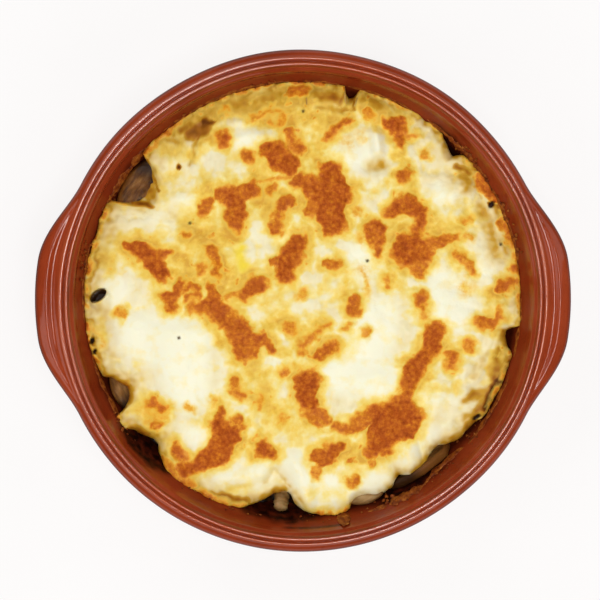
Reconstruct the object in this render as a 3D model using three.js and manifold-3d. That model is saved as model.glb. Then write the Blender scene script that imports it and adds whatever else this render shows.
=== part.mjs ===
// Baked pasta in a small two-eared terracotta dish: a floor of pasta, mushrooms and sauce,
// and one sheet of melted cheese that has drawn back from the wall here and there.
// Millimetres, +Z up, +X towards one ear. The origin is the middle of the dish's flat base.
import * as THREE from "three";
import { mergeVertices } from "three/addons/utils/BufferGeometryUtils.js";
import Module from "manifold-3d";

// Driving dimensions
const rimRadius = 80; // outside of the plain rim
const dishHeight = 42;
const baseRadius = 50; // flat underside
const dishFloor = 7; // thickness of the dish's floor
const earReach = 5.4; // how far an ear stands out past the rim
const earFullAngle = 8.5; // degrees either side of X where an ear has its full reach
const earRootAngle = 27.5; // degrees either side of X where an ear has run out into the rim
const foodRadius = 70; // where the cheese meets the wall
const cheeseUnderside = 27; // height at the wall
const crown = 4.4; // how much higher the middle of the food is than its edge
const cheeseThickness = 4;
const ripple = { height: 0.35, spacingX: 5.5, spacingY: 6.5, phase: 1 }; // unevenness of the cheese's top
const sunkShare = 0.35; // how far the filling sinks for each mm that the cheese has drawn back
const gillDip = 1.2; // how far a mushroom's gills run back from its cap's rim
const stemTaper = 0.4; // how much thicker a mushroom's stem is at its inner end
const gap = 0.35; // between pieces that touch

// How finely each piece is divided round its axis, and an arch or a tube round its curve
const dishSegments = 72;
const foodSegments = 66;
const archSegments = 9;
const tubeSegments = 12;

// Inside of the wall, from just under the rim's inner ridge to the floor: [radius, height]
const innerWall = [
  [rimRadius - 5.2, dishHeight - 0.8],
  [rimRadius - 6.8, dishHeight - 4.5],
  [rimRadius - 9.7, dishHeight - 10.5],
  [rimRadius - 13.5, dishHeight - 18.5],
  [rimRadius - 19, dishHeight - 26.5],
  [rimRadius - 27, dishFloor + 2.2],
  [rimRadius - 36, dishFloor],
];

// Outside of the wall, from the foot to the shoulder under the rim: [radius, height]
const outerWall = [
  [baseRadius, 0],
  [baseRadius + 4, 1.5],
  [baseRadius + 12.6, 9],
  [baseRadius + 20.4, 20],
  [baseRadius + 24.2, 28],
];

// The rim, from under its shoulder to its inner ridge, with a groove between two ridges:
// [radius, height, share of the ear's reach, lift on the ear]
const rim = [
  [rimRadius - 4.4, dishHeight - 11, 0.1, 0],
  [rimRadius - 2.6, dishHeight - 6.8, 0.4, -1],
  [rimRadius - 0.6, dishHeight - 5.4, 0.85, -0.6],
  [rimRadius, dishHeight - 3.7, 1, 0],
  [rimRadius - 0.3, dishHeight - 2.6, 0.96, 0.4],
  [rimRadius - 0.9, dishHeight - 1.7, 0.83, 0.5],
  [rimRadius - 1.4, dishHeight - 1.2, 0.67, 0.2],
  [rimRadius - 2.1, dishHeight - 0.8, 0.52, -0.9],
  [rimRadius - 2.5, dishHeight - 0.6, 0.28, -0.5],
  [rimRadius - 2.9, dishHeight - 0.4, 0, 0],
  [rimRadius - 3.5, dishHeight - 0.9, 0, 0],
  [rimRadius - 4.5, dishHeight, 0, 0],
];

// Where the cheese has drawn back from the wall: [direction in degrees, half width in degrees, depth]
const drawnBack = [
  [44, 6.5, 6],
  [76.5, 5, 4],
  [145, 10, 11.5],
  [207, 8, 7.5],
  [224, 8, 5],
  [262, 13, 8.5],
  [299, 18, 5.5],
  [349.5, 6, 4],
];

// Thick folds of cheese: [x, y, radius, rise]
const cheeseFolds = [
  [-21, -57, 14, 1.1],
  [6, -52, 15, 0.9],
  [36, -46, 15, 1],
  [-42, -18, 19, 0.9],
  [-38, 22, 15, 0.6],
  [50, 28, 15, 0.9],
  [-12, 45, 14, 0.7],
  [20, -22, 13, -0.8],
  [24, 41, 9, -1.2],
];

// Sliced mushrooms that show in the gaps. Each lies with its cap outwards; a tilt of 90 stands it on edge.
const mushroomSlices = {
  mushroom_slice_left: {
    direction: 145, radius: 61, height: 28, tilt: 6,
    capWidth: 22, capHeight: 7.8, stemWidth: 5.5, stemLength: 5, thickness: 3.2,
  },
  mushroom_slice_top_left: {
    direction: 121, radius: 60.5, height: 28.7, tilt: -4,
    capWidth: 15, capHeight: 5.5, stemWidth: 5, stemLength: 3, thickness: 2.4,
  },
  mushroom_slice_lower_left: {
    direction: 207, radius: 61.5, height: 27.9, tilt: -3,
    capWidth: 16, capHeight: 6.6, stemWidth: 5, stemLength: 4, thickness: 3,
  },
  mushroom_slice_bottom_right: {
    direction: 288, radius: 62.6, height: 28, tilt: 10,
    capWidth: 14, capHeight: 6.2, stemWidth: 4.5, stemLength: 3, thickness: 2.8,
  },
  mushroom_slice_on_edge: {
    direction: 305, radius: 64.4, height: 24.6, tilt: 66,
    capWidth: 24, capHeight: 6.8, stemWidth: 6, stemLength: 3, thickness: 3.2,
  },
};

// The cut end of a mushroom's stem in the widest gap
const stemEnd = { direction: 264, radius: 63, height: 26.4, tilt: 20, width: 5, length: 11 };

// Short tubes of pasta that show at the edge. In degrees, a front end points along turn, raised by lift.
const tubeBore = 0.68; // share of the outer diameter
const pastaTubes = {
  pasta_tube_left: { at: [-62.3, -3.2, 27.2], turn: 125, lift: 35, width: 7, length: 13 },
  pasta_tube_top: { at: [7.6, 63.8, 28.4], turn: 5, lift: 0, width: 7.6, length: 13 },
  pasta_tube_top_right: { at: [22.4, 60.9, 28.4], turn: -21, lift: 0, width: 7.2, length: 12 },
};

const materials = {
  terracotta: { color: 0x8f3b22, roughness: 0.3, metalness: 0 },
  cheese: { color: 0xf3e6bb, roughness: 0.5, metalness: 0 },
  sauce: { color: 0x4a2a16, roughness: 0.45, metalness: 0 },
  mushroom: { color: 0x6b5138, roughness: 0.55, metalness: 0 },
  pasta: { color: 0xd9b25a, roughness: 0.5, metalness: 0 },
};

const wasm = await Module();
wasm.setup();

const { degToRad, radToDeg, smoothstep, lerp } = THREE.MathUtils;

// A lathe whose outline changes on the way round: shape(index, angle) gives the radius and height
// of one outline point. The first and last points lie on the axis.
function turned(pointCount, segments, shape) {
  const blank = Array.from({ length: pointCount }, (_, index) => new THREE.Vector2(1, index));
  const geometry = new THREE.LatheGeometry(blank, segments);
  const position = geometry.getAttribute("position");
  for (let vertex = 0; vertex < position.count; vertex += 1) {
    const angle = (Math.floor(vertex / pointCount) / segments) * 2 * Math.PI;
    const [radius, height] = shape(vertex % pointCount, angle);
    position.setXYZ(vertex, radius * Math.cos(angle), radius * Math.sin(angle), height);
  }
  return geometry;
}

// A geometry as a manifold solid
function solidOf(geometry) {
  const bare = geometry.clone();
  bare.deleteAttribute("normal");
  bare.deleteAttribute("uv");
  const merged = mergeVertices(bare, 1e-4);
  return new wasm.Manifold(
    new wasm.Mesh({
      numProp: 3,
      vertProperties: merged.getAttribute("position").array,
      triVerts: new Uint32Array(merged.index.array),
    }),
  );
}

// The largest body of a solid as a geometry: crumbs left over by a cut are dropped
function geometryOf(solid) {
  const bodies = solid.decompose().sort((a, b) => b.volume() - a.volume());
  const mesh = bodies[0].getMesh();
  const geometry = new THREE.BufferGeometry();
  geometry.setAttribute("position", new THREE.BufferAttribute(mesh.vertProperties, 3));
  geometry.setIndex(new THREE.BufferAttribute(mesh.triVerts, 1));
  return geometry;
}

function meshOf(name, geometry, finish) {
  geometry.computeVertexNormals();
  const mesh = new THREE.Mesh(geometry, new THREE.MeshStandardMaterial(finish));
  mesh.name = name;
  return mesh;
}

// 1 on an ear, 0 on the plain rim
function earShare(angle) {
  const fromAxis = radToDeg(Math.asin(Math.abs(Math.sin(angle))));
  return 1 - smoothstep(fromAxis, earFullAngle, earRootAngle);
}

// Radius of the inside of the wall at a height
function wallRadius(height) {
  const below = innerWall.findIndex((point) => point[1] <= height);
  if (below <= 0) return below === 0 ? innerWall[0][0] : 0;
  const [upperRadius, upperHeight] = innerWall[below - 1];
  const [lowerRadius, lowerHeight] = innerWall[below];
  return lerp(lowerRadius, upperRadius, (height - lowerHeight) / (upperHeight - lowerHeight));
}

function dish() {
  const outline = [[0, 0], ...outerWall, ...rim, ...innerWall, [0, dishFloor]];
  return turned(outline.length, dishSegments, (index, angle) => {
    const [radius, height, reachShare = 0, lift = 0] = outline[index];
    const ear = earShare(angle);
    return [radius + reachShare * earReach * ear, height + lift * ear];
  });
}

// Height of the cheese's underside: a shallow dome
function domeHeight(radius) {
  return cheeseUnderside + crown * (1 - (radius / foodRadius) ** 2);
}

// Radius of the cheese's edge in one direction
function cheeseRadius(angle) {
  const direction = radToDeg(angle);
  return drawnBack.reduce((radius, [middle, halfWidth, depth]) => {
    const off = Math.abs(((direction - middle + 540) % 360) - 180) / halfWidth;
    return radius - depth * (1 - smoothstep(off, 0.3, 1));
  }, foodRadius);
}

// Height of the cheese's top over its underside, less towards the rounded edge
function cheeseRelief(x, y) {
  const folds = cheeseFolds.reduce((sum, [foldX, foldY, foldRadius, rise]) => {
    const off = Math.hypot(x - foldX, y - foldY) / foldRadius;
    return sum + rise * (1 - smoothstep(off, 0, 1));
  }, 0);
  const wave = Math.sin(x / ripple.spacingX + ripple.phase) * Math.cos(y / ripple.spacingY);
  return cheeseThickness + folds + ripple.height * wave;
}

// The cheese: rings out underneath, a rounded edge, and rings back in over the top
function cheese() {
  const underRings = [0, 0.25, 0.5, 0.75, 0.93];
  const edge = [[0.985, 0.14], [1, 0.5], [0.985, 0.86]]; // [share of the radius, share of the thickness]
  const topRings = [0.95, 0.89, 0.81, 0.72, 0.62, 0.51, 0.4, 0.28, 0.14, 0];
  const rings = [...underRings.map((share) => [share, 0]), ...edge, ...topRings.map((share) => [share, 1])];
  return turned(rings.length, foodSegments, (index, angle) => {
    const [radiusShare, thicknessShare] = rings[index];
    const radius = radiusShare * cheeseRadius(angle);
    const relief = cheeseRelief(radius * Math.cos(angle), radius * Math.sin(angle));
    const height = domeHeight(radius) + gap + thicknessShare * (relief - gap);
    return [Math.min(radius, wallRadius(height) - gap), height];
  });
}

// How far the filling lies below the dome: it sinks from just under the cheese's edge out to the wall
function fillingDip(radius, angle) {
  const edge = cheeseRadius(angle);
  return sunkShare * (foodRadius - edge) * smoothstep(radius, edge - 8, foodRadius - 3);
}

// The filling: pasta, mushrooms and sauce, out along the floor, up the wall and in under the cheese
function filling() {
  const floor = innerWall.slice(-2).map(([radius, height]) => [radius - gap, height + gap]).reverse();
  const wallShares = [0.3, 0.62, 0.97]; // of the filling's depth at the wall
  const topRings = [65, 61, 55, 48, 39, 28, 15, 0];
  const lowest = floor[0][1];
  const count = 1 + floor.length + wallShares.length + topRings.length;
  return turned(count, foodSegments, (index, angle) => {
    if (index === 0) return [0, lowest];
    if (index <= floor.length) return floor[index - 1];
    const wallIndex = index - 1 - floor.length;
    if (wallIndex < wallShares.length) {
      const top = domeHeight(foodRadius) - fillingDip(foodRadius, angle);
      const height = lerp(floor[1][1], top, wallShares[wallIndex]);
      return [wallRadius(height) - gap, height];
    }
    const radius = topRings[wallIndex - wallShares.length];
    return [radius, domeHeight(radius) - fillingDip(radius, angle)];
  });
}

// Turns a piece whose +Y points outwards to its direction on the dish, after tilting it about its width
function placeOnDish(geometry, { direction, radius, height, tilt }) {
  geometry.rotateX(degToRad(tilt));
  geometry.translate(0, radius, height);
  return geometry.rotateZ(degToRad(direction - 90));
}

// A slice through a mushroom's cap and stem, larger all round by grow
function mushroomSlice(slice, grow = 0) {
  const halfCap = slice.capWidth / 2 + grow;
  const halfStem = slice.stemWidth / 2 + grow;
  const crest = (slice.capHeight + grow) * 1.32; // a Bezier arch reaches three quarters of its handles
  const stemTop = -gillDip - grow;
  const stemFoot = -slice.stemLength - grow;
  const outline = new THREE.Shape();
  outline.moveTo(-halfCap, -grow);
  outline.lineTo(-halfStem, stemTop);
  outline.lineTo(-halfStem, stemFoot);
  outline.lineTo(halfStem, stemFoot);
  outline.lineTo(halfStem, stemTop);
  outline.lineTo(halfCap, -grow);
  outline.bezierCurveTo(halfCap, crest, -halfCap, crest, -halfCap, -grow);
  const depth = slice.thickness + 2 * grow;
  const settings = { depth, bevelEnabled: false, curveSegments: archSegments };
  const geometry = new THREE.ExtrudeGeometry(outline, settings);
  geometry.translate(0, 0, -depth / 2);
  return placeOnDish(geometry, slice);
}

// A stub of stem, a little thicker at its inner end, larger all round by grow
function mushroomStem(grow = 0) {
  const radius = stemEnd.width / 2 + grow;
  const length = stemEnd.length + 2 * grow;
  const geometry = new THREE.CylinderGeometry(radius, radius + stemTaper, length, tubeSegments, 1);
  return placeOnDish(geometry, stemEnd);
}

// Turns a tube made along X to its place
function placeTube(geometry, { at, turn, lift }) {
  geometry.rotateY(degToRad(-lift));
  geometry.rotateZ(degToRad(turn));
  return geometry.translate(...at);
}

// A short tube of pasta along X
function pastaTube(tube) {
  const section = new THREE.Shape().absarc(0, 0, tube.width / 2, 0, 2 * Math.PI, false);
  const bore = new THREE.Path().absarc(0, 0, (tubeBore * tube.width) / 2, 0, 2 * Math.PI, true);
  section.holes.push(bore);
  const settings = { depth: tube.length, bevelEnabled: false, curveSegments: tubeSegments };
  const geometry = new THREE.ExtrudeGeometry(section, settings);
  geometry.translate(0, 0, -tube.length / 2);
  geometry.rotateY(Math.PI / 2);
  return placeTube(geometry, tube);
}

// The room that a tube takes up in the filling and the cheese
function tubeRoom(tube) {
  const radius = tube.width / 2 + gap;
  const geometry = new THREE.CylinderGeometry(radius, radius, tube.length + 2 * gap, tubeSegments, 1);
  geometry.rotateZ(Math.PI / 2);
  return placeTube(geometry, tube);
}

// Everything inside the dish's wall, up to the rim
function cavity() {
  const wall = innerWall.map(([radius, height]) => [radius - gap, height + gap]).reverse();
  const outline = [[0, dishFloor + gap], ...wall, [0, dishHeight]];
  return turned(outline.length, foodSegments, (index) => outline[index]);
}

const inside = solidOf(cavity());
const sliceEntries = Object.entries(mushroomSlices);
const tubeEntries = Object.entries(pastaTubes);
const rooms = [
  ...sliceEntries.map(([, slice]) => solidOf(mushroomSlice(slice, gap))),
  ...tubeEntries.map(([, tube]) => solidOf(tubeRoom(tube))),
  solidOf(mushroomStem(gap)),
];
const cutByRooms = (solid) => rooms.reduce((left, room) => left.subtract(room), solid);
const fittedInside = (geometry) => geometryOf(solidOf(geometry).intersect(inside));

const bakedPasta = new THREE.Group();
bakedPasta.add(meshOf("dish", dish(), materials.terracotta));
bakedPasta.add(meshOf("pasta_filling", geometryOf(cutByRooms(solidOf(filling()))), materials.sauce));
bakedPasta.add(meshOf("cheese_topping", geometryOf(cutByRooms(solidOf(cheese()))), materials.cheese));
for (const [name, slice] of sliceEntries) {
  bakedPasta.add(meshOf(name, fittedInside(mushroomSlice(slice)), materials.mushroom));
}
bakedPasta.add(meshOf("mushroom_stem_end", fittedInside(mushroomStem()), materials.mushroom));
for (const [name, tube] of tubeEntries) {
  bakedPasta.add(meshOf(name, fittedInside(pastaTube(tube)), materials.pasta));
}

export default bakedPasta;
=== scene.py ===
# Baked pasta under browned cheese, in a small two-eared terracotta dish on a white table.
# Lengths in the dictionaries and lists are in millimetres. makePiece turns them to metres.
from functools import partial

import bpy
import numpy as np
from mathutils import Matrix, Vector


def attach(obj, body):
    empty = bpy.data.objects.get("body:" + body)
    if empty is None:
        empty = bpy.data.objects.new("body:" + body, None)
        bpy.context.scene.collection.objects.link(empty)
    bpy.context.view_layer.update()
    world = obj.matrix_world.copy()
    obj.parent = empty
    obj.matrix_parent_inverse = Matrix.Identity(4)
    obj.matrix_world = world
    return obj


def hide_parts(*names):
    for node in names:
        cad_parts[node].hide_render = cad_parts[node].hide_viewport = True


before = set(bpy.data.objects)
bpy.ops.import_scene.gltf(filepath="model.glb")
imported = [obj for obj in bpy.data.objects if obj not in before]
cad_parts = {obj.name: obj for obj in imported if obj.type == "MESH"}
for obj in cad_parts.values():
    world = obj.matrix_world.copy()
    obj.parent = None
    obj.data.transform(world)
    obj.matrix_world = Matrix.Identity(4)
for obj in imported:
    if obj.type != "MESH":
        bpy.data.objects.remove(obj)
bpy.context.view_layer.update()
mm = 0.001
print("frame loaded,", len(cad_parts), "nodes")


# ---- numbers and noise

def ease(value, low, high):
    # 0 up to low, 1 from high on, and 3t^2 - 2t^3 between. low may lie above high.
    share = np.clip((value - low) / (high - low), 0, 1)
    return share * share * (3 - 2 * share)


def noise(x, y, size, seed):
    # Gradient noise: each corner of a square lattice has a random direction, and a point blends the slopes
    # of its four corners by the step 6t^5 - 15t^4 + 10t^3. About -1 to 1, with bumps of that size.
    corners = 128
    turns = np.random.default_rng(seed).uniform(0, 2 * np.pi, (corners, corners))
    u, v = np.asarray(x) / size, np.asarray(y) / size
    column, row = np.floor(u).astype(int), np.floor(v).astype(int)
    du, dv = u - column, v - row

    def slope(right, up):
        turn = turns[(column + right) % corners, (row + up) % corners]
        return np.cos(turn) * (du - right) + np.sin(turn) * (dv - up)

    blendU, blendV = (d ** 3 * (d * (d * 6 - 15) + 10) for d in (du, dv))
    low = slope(0, 0) + blendU * (slope(1, 0) - slope(0, 0))
    high = slope(0, 1) + blendU * (slope(1, 1) - slope(0, 1))
    return 1.4 * (low + blendV * (high - low))


def layeredNoise(x, y, size, seed):
    # Three layers, each at half the size and half the height of the one before
    return sum(noise(x, y, size / 2 ** layer, seed + layer) / 2 ** layer for layer in range(3))


def distanceToTrail(x, y, trail):
    # A trail is a chain of discs, written as x, y, radius, x, y, radius and so on. Gives how far inside its
    # edge a point lies: the radius at the nearest point of the chain, less the distance to it.
    discs = np.reshape(trail, (-1, 3))
    inside = np.full(np.shape(x), -1e3)
    for (x0, y0, r0), (x1, y1, r1) in zip(discs, discs[1:] if len(discs) > 1 else discs):
        dx, dy = x1 - x0, y1 - y0
        along = np.clip(((x - x0) * dx + (y - y0) * dy) / (dx * dx + dy * dy + 1e-9), 0, 1)
        gap = np.hypot(x - x0 - along * dx, y - y0 - along * dy)
        inside = np.maximum(inside, r0 + along * (r1 - r0) - gap)
    return inside


def overTrails(x, y, rows):
    # For each row of amount, softness and trail: the amount inside the trail, eased to 0 across its edge
    return [amount * ease(distanceToTrail(x, y, trail), -softness, softness)
            for amount, softness, *trail in rows]


def smoothCurve(points, steps):
    # Catmull-Rom curve through rows of numbers: between two points it is the cubic whose slopes at them
    # are half the difference of their neighbours
    points = np.asarray(points, float)
    padded = np.vstack([2 * points[0] - points[1], points, 2 * points[-1] - points[-2]])
    t = np.linspace(0, 1, steps, endpoint=False)[:, None]
    spans = [b + 0.5 * t * (c - a + t * (2 * a - 5 * b + 4 * c - d + t * (3 * b - a - 3 * c + d)))
             for a, b, c, d in zip(padded, padded[1:], padded[2:], padded[3:])]
    return np.vstack([*spans, points[-1:]])


def degreesApart(direction, other):
    # Angle between two directions, 0 to 180
    return np.abs((direction - other + 540) % 360 - 180)


def fullTurn(count):
    # Evenly spaced angles once round
    return np.linspace(0, 2 * np.pi, count, endpoint=False)


def turned(x, y, degrees):
    # x and y turned anticlockwise about the origin
    cosine, sine = np.cos(np.radians(degrees)), np.sin(np.radians(degrees))
    return x * cosine - y * sine, x * sine + y * cosine


# ---- meshes

def joined(x, y, z):
    # Rows of x, y and z from three arrays of any shapes that fit each other
    return np.stack(np.broadcast_arrays(x, y, z), axis=-1).reshape(-1, 3)


def aroundAxis(radius, angle, height):
    # Points round the Z axis: radius times cosine, radius times sine, height
    return joined(radius * np.cos(angle), radius * np.sin(angle), height)


def gridQuads(rows, columns, aroundRows=False, aroundColumns=True):
    # Four corners for each cell of a grid whose points are numbered row by row. A grid may close on itself.
    row = np.arange(rows if aroundRows else rows - 1)[:, None]
    column = np.arange(columns if aroundColumns else columns - 1)[None, :]
    nextRow = (row + 1) % rows * columns
    nextColumn = (column + 1) % columns
    corners = (row * columns + column, row * columns + nextColumn, nextRow + nextColumn, nextRow + column)
    return np.stack([corner.ravel() for corner in np.broadcast_arrays(*corners)], axis=1)


def fan(loop, centre):
    # Triangles from a closed loop of points to one point
    return np.stack([loop, np.roll(loop, -1), np.full(len(loop), centre)], axis=1)


def closedRings(rows, columns, flipped=False):
    # Faces of a stack of rings, closed by a point at each end. The two points are numbered last.
    loop = np.arange(columns)
    last = rows * columns
    faces = [gridQuads(rows, columns), fan(loop[::-1], last), fan(loop + last - columns, last + 1)]
    return [group[:, ::-1] for group in faces] if flipped else faces


def newObject(name, data):
    # An object at the origin, in the scene
    thing = bpy.data.objects.new(name, data)
    bpy.context.scene.collection.objects.link(thing)
    return thing


def makePiece(name, points, faces, material, replaced=(), attributes=None, uv=None):
    # Joins arrays of faces into one mesh of smooth faces, and hands it to the frame
    mesh = bpy.data.meshes.new(name)
    faces = [face for group in faces for face in group.tolist()]
    mesh.from_pydata((np.asarray(points) * mm).tolist(), [], faces)
    mesh.shade_smooth()
    for label, values in (attributes or {}).items():
        mesh.attributes.new(label, "FLOAT", "POINT").data.foreach_set("value", np.asarray(values, np.float32))
    if uv is not None:
        corner = np.empty(len(mesh.loops), int)
        mesh.loops.foreach_get("vertex_index", corner)
        mesh.uv_layers.new(name="surface").data.foreach_set("uv", uv[corner].astype(np.float32).ravel())
    mesh.validate()
    mesh.materials.append(material)
    piece = newObject(name, mesh)
    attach(piece, "root")
    if replaced:
        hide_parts(*replaced)
    print(name, len(mesh.vertices), "points")


# ---- materials

def colour(code):
    # sRGB hex to linear: the dark end is a straight line, the rest a power of 2.4
    channels = np.array([int(code[place:place + 2], 16) for place in (1, 3, 5)]) / 255
    linear = np.where(channels <= 0.04045, channels / 12.92, ((channels + 0.055) / 1.055) ** 2.4)
    return (*linear.tolist(), 1)


def setSockets(node, sockets):
    # Each input of a node gets a number, a hex colour, or a link from another node. None leaves it alone.
    for socket, source in sockets.items():
        if isinstance(source, bpy.types.NodeSocket):
            node.id_data.links.new(source, node.inputs[socket])
        elif source is not None:
            node.inputs[socket].default_value = colour(source) if isinstance(source, str) else source


def addNode(tree, kind, sockets=None, output=0, stops=(), **settings):
    # Adds one node and gives one of its outputs. stops are a ramp's places and hex colours.
    node = tree.nodes.new("ShaderNode" + kind)
    for name, setting in settings.items():
        setattr(node, name, setting)
    setSockets(node, sockets or {})
    for place, code in stops[1:-1]:
        node.color_ramp.elements.new(place)
    for index, (place, code) in enumerate(stops):
        node.color_ramp.elements[index].position = place
        node.color_ramp.elements[index].color = colour(code)
    return node.outputs[output]


def newMaterial(name, sockets, relief=None):
    # A material with its shader's sockets filled, and with relief too fine for the mesh: noise of a size, a
    # detail and a depth. Also gives the function that adds a node to it, and its Object coordinates.
    material = bpy.data.materials.new(name)
    material.use_nodes = True
    shader = material.node_tree.nodes["Principled BSDF"]
    add = partial(addNode, material.node_tree)
    place = add("TexCoord", output="Object")
    setSockets(shader, sockets)
    if relief:
        size, detail, depth = relief
        bumps = add("TexNoise", {"Vector": place, "Scale": 1 / (size * mm), "Detail": detail})
        setSockets(shader, {"Normal": add("Bump", {"Height": bumps, "Strength": 1, "Distance": depth * mm})})
    return material, shader, add, place


blend = {"output": 2, "data_type": "RGBA"}  # for Mix nodes: 0 is the share, 6 and 7 are the colours


# ---- light, table and camera

view = {"height": 1500, "lens": 283, "sensor": 36, "aimX": -0.8, "aimY": -0.1, "rim": 42}
table = {"halfSide": 3000, "cloud": 60, "glow": 0.86}
roomGlow = 0.1
lights = [
    # name, direction, height above the table's plane in degrees, distance, side, watts
    ("overheadSoftbox", -50, 82, 1700, 460, 10.5),
    ("upperSoftbox", 128, 46, 1500, 1000, 7),
    ("lowerSoftbox", -60, 42, 1500, 1000, 8),
    ("leftSoftbox", 205, 42, 1500, 1000, 6),
    ("rightSoftbox", 30, 40, 1500, 1000, 4),
]


def makeTable():
    # One square of opal acrylic sheet, lit from below: nearly white, so that shadows on it almost vanish,
    # with faint clouds
    material, shader, add, place = newMaterial("opalAcrylic", {
        "Emission Color": "#fffdfc", "Emission Strength": table["glow"],
        "Roughness": 0.6, "Specular IOR Level": 0.1})
    cloud = add("TexNoise", {"Vector": place, "Scale": 1 / (table["cloud"] * mm), "Detail": 3})
    base = add("ValToRGB", {0: cloud}, stops=((0.3, "#5a5a5a"), (0.7, "#606060")))
    setSockets(shader, {"Base Color": base})
    side = table["halfSide"] * mm
    mesh = bpy.data.meshes.new("table")
    corners = [(-side, -side, 0), (side, -side, 0), (side, side, 0), (-side, side, 0)]
    mesh.from_pydata(corners, [], [(0, 1, 2, 3)])
    mesh.materials.append(material)
    newObject("table", mesh)


def makeLights():
    # Soft boxes above and around the dish, each turned to the middle of its rim, in a pale room
    world = bpy.data.worlds.new("paleRoom")
    world.use_nodes = True
    setSockets(world.node_tree.nodes["Background"], {"Color": "#ffffff", "Strength": roomGlow})
    bpy.context.scene.world = world
    middle = Vector((0, 0, view["rim"] * mm))
    for name, direction, height, distance, side, watts in lights:
        data = bpy.data.lights.new(name, "AREA")
        data.energy = watts
        data.size = side * mm
        turn = np.radians(direction)
        lift = np.radians(height)
        offset = Vector((np.cos(lift) * np.cos(turn), np.cos(lift) * np.sin(turn), np.sin(lift)))
        lamp = newObject(name, data)
        lamp.location = middle + offset * distance * mm
        lamp.rotation_euler = offset.to_track_quat("Z", "Y").to_euler()
    print(len(lights), "lights")


def makeCamera():
    # Straight above the dish, looking down
    data = bpy.data.cameras.new("camera")
    data.lens = view["lens"]
    data.sensor_width = view["sensor"]
    data.clip_end = 10
    camera = newObject("camera", data)
    camera.location = (view["aimX"] * mm, view["aimY"] * mm, (view["rim"] + view["height"]) * mm)
    bpy.context.scene.camera = camera
    bpy.context.scene.view_settings.view_transform = "Standard"


# ---- the dish

dish = {
    "columns": 576, "rimStep": 0.2, "wallStep": 1.9,
    "earReach": 5.4, "earFull": 8.5, "earRoot": 27.5,  # full and root in degrees from the ear's middle
    "wobble": 0.35, "ridgeWobble": 0.07, "heightWobble": 0.25,
    "leanOut": 0.4, "leanIn": 0.75, "leanTurn": -57,  # how far the rim lies off centre, and which way
    "crests": (77.4, 75.7), "crevices": (76.55, 74.95),
    # Outline from the foot up to the rim: [radius, height, share of the ear's reach, lift on the ear]
    "outside": [
        (50, 0, 0, 0), (51.6, 0.25, 0, 0), (54, 1.5, 0, 0), (62.6, 9, 0, 0), (70.4, 20, 0, 0),
        (74.2, 28, 0, 0), (75.6, 31, 0.1, 0), (77.4, 35.2, 0.4, -1), (79.4, 36.6, 0.85, -0.6),
        (80, 38.3, 1, 0), (79.75, 39.3, 0.96, 0.2), (79.2, 40.05, 0.84, 0.3), (78.6, 40.6, 0.6, 0.5),
        (78.15, 40.95, 0.42, -0.5), (77.95, 41.2, 0.2, -0.5), (77.7, 41.52, 0.05, 0),
        (77.35, 41.67, 0.02, 0), (76.95, 41.5, 0, 0), (76.55, 41, 0, 0), (76.3, 41.3, 0, 0),
        (76.05, 41.7, 0, 0), (75.65, 41.87, 0, 0), (75.25, 41.72, 0, 0),
    ],
    # From the rim down to the floor: [radius, height]
    "inside": [
        (74.9, 41.1), (74.65, 40.4), (74.25, 39.95), (73.7, 39.55), (73.35, 38.9), (73.05, 37.9),
        (72.6, 36.3), (71.9, 34.6), (70.3, 31.5), (68.5, 27.6), (66.5, 23.5), (61, 15.5), (53, 9.2), (44, 7),
    ],
}
stainTongues = [
    # direction, half width in degrees, how much higher the stain reaches
    (48, 8, 2.2), (145, 10, 0.8), (205, 8, 1.2), (223, 11, 4.6),
    (264, 14, 2.8), (300, 15, 2.4), (330, 9, 1.6),
]
bakedSauce = {"height": 32.4, "fade": 3, "lineHeight": 36.2, "lineDirection": 273, "lineHalfWidth": 7.5}
innerWall = np.array(dish["inside"][::-1])


def wallRadius(height):
    # Radius of the inside of the wall at a height, straight between the outline's points
    return np.interp(height, innerWall[:, 1], innerWall[:, 0])


def wallHeight(radius):
    # Height on the inside of the wall at a radius, by the same outline
    return np.interp(radius, innerWall[:, 0], innerWall[:, 1])


def onInnerWall(radius, z):
    # 1 on the inside of the wall, 0 on its outside, by how far a point lies out from the inner outline
    return ease(radius - wallRadius(z), 2, 1) * ease(radius, 74.5, 73.5)


def wallStain(x, y, z):
    # Baked-on sauce over the food's edge: strongest just over it, fading upwards in uneven tongues, and one
    # thin line of it higher up
    direction = np.degrees(np.arctan2(y, x))
    above = sum(rise * ease(degreesApart(direction, middle) / halfWidth, 1.2, 0.2)
                for middle, halfWidth, rise in stainTongues)
    top = bakedSauce["height"] + 1.1 * layeredNoise(x, y, 9, 21) + 0.6 * noise(x, y, 2.2, 25) + above
    strength = (0.5 + 0.5 * ease(above, 0.3, 2)) * ease(z, 20, 24) * ease(z, top, top - bakedSauce["fade"])
    aside = degreesApart(direction, bakedSauce["lineDirection"]) - bakedSauce["lineHalfWidth"]
    line = 0.8 * ease(np.abs(z - bakedSauce["lineHeight"]), 1, 0.3) * ease(aside, 1, -1)
    return onInnerWall(np.hypot(x, y), z) * np.maximum(strength, line)


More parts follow.
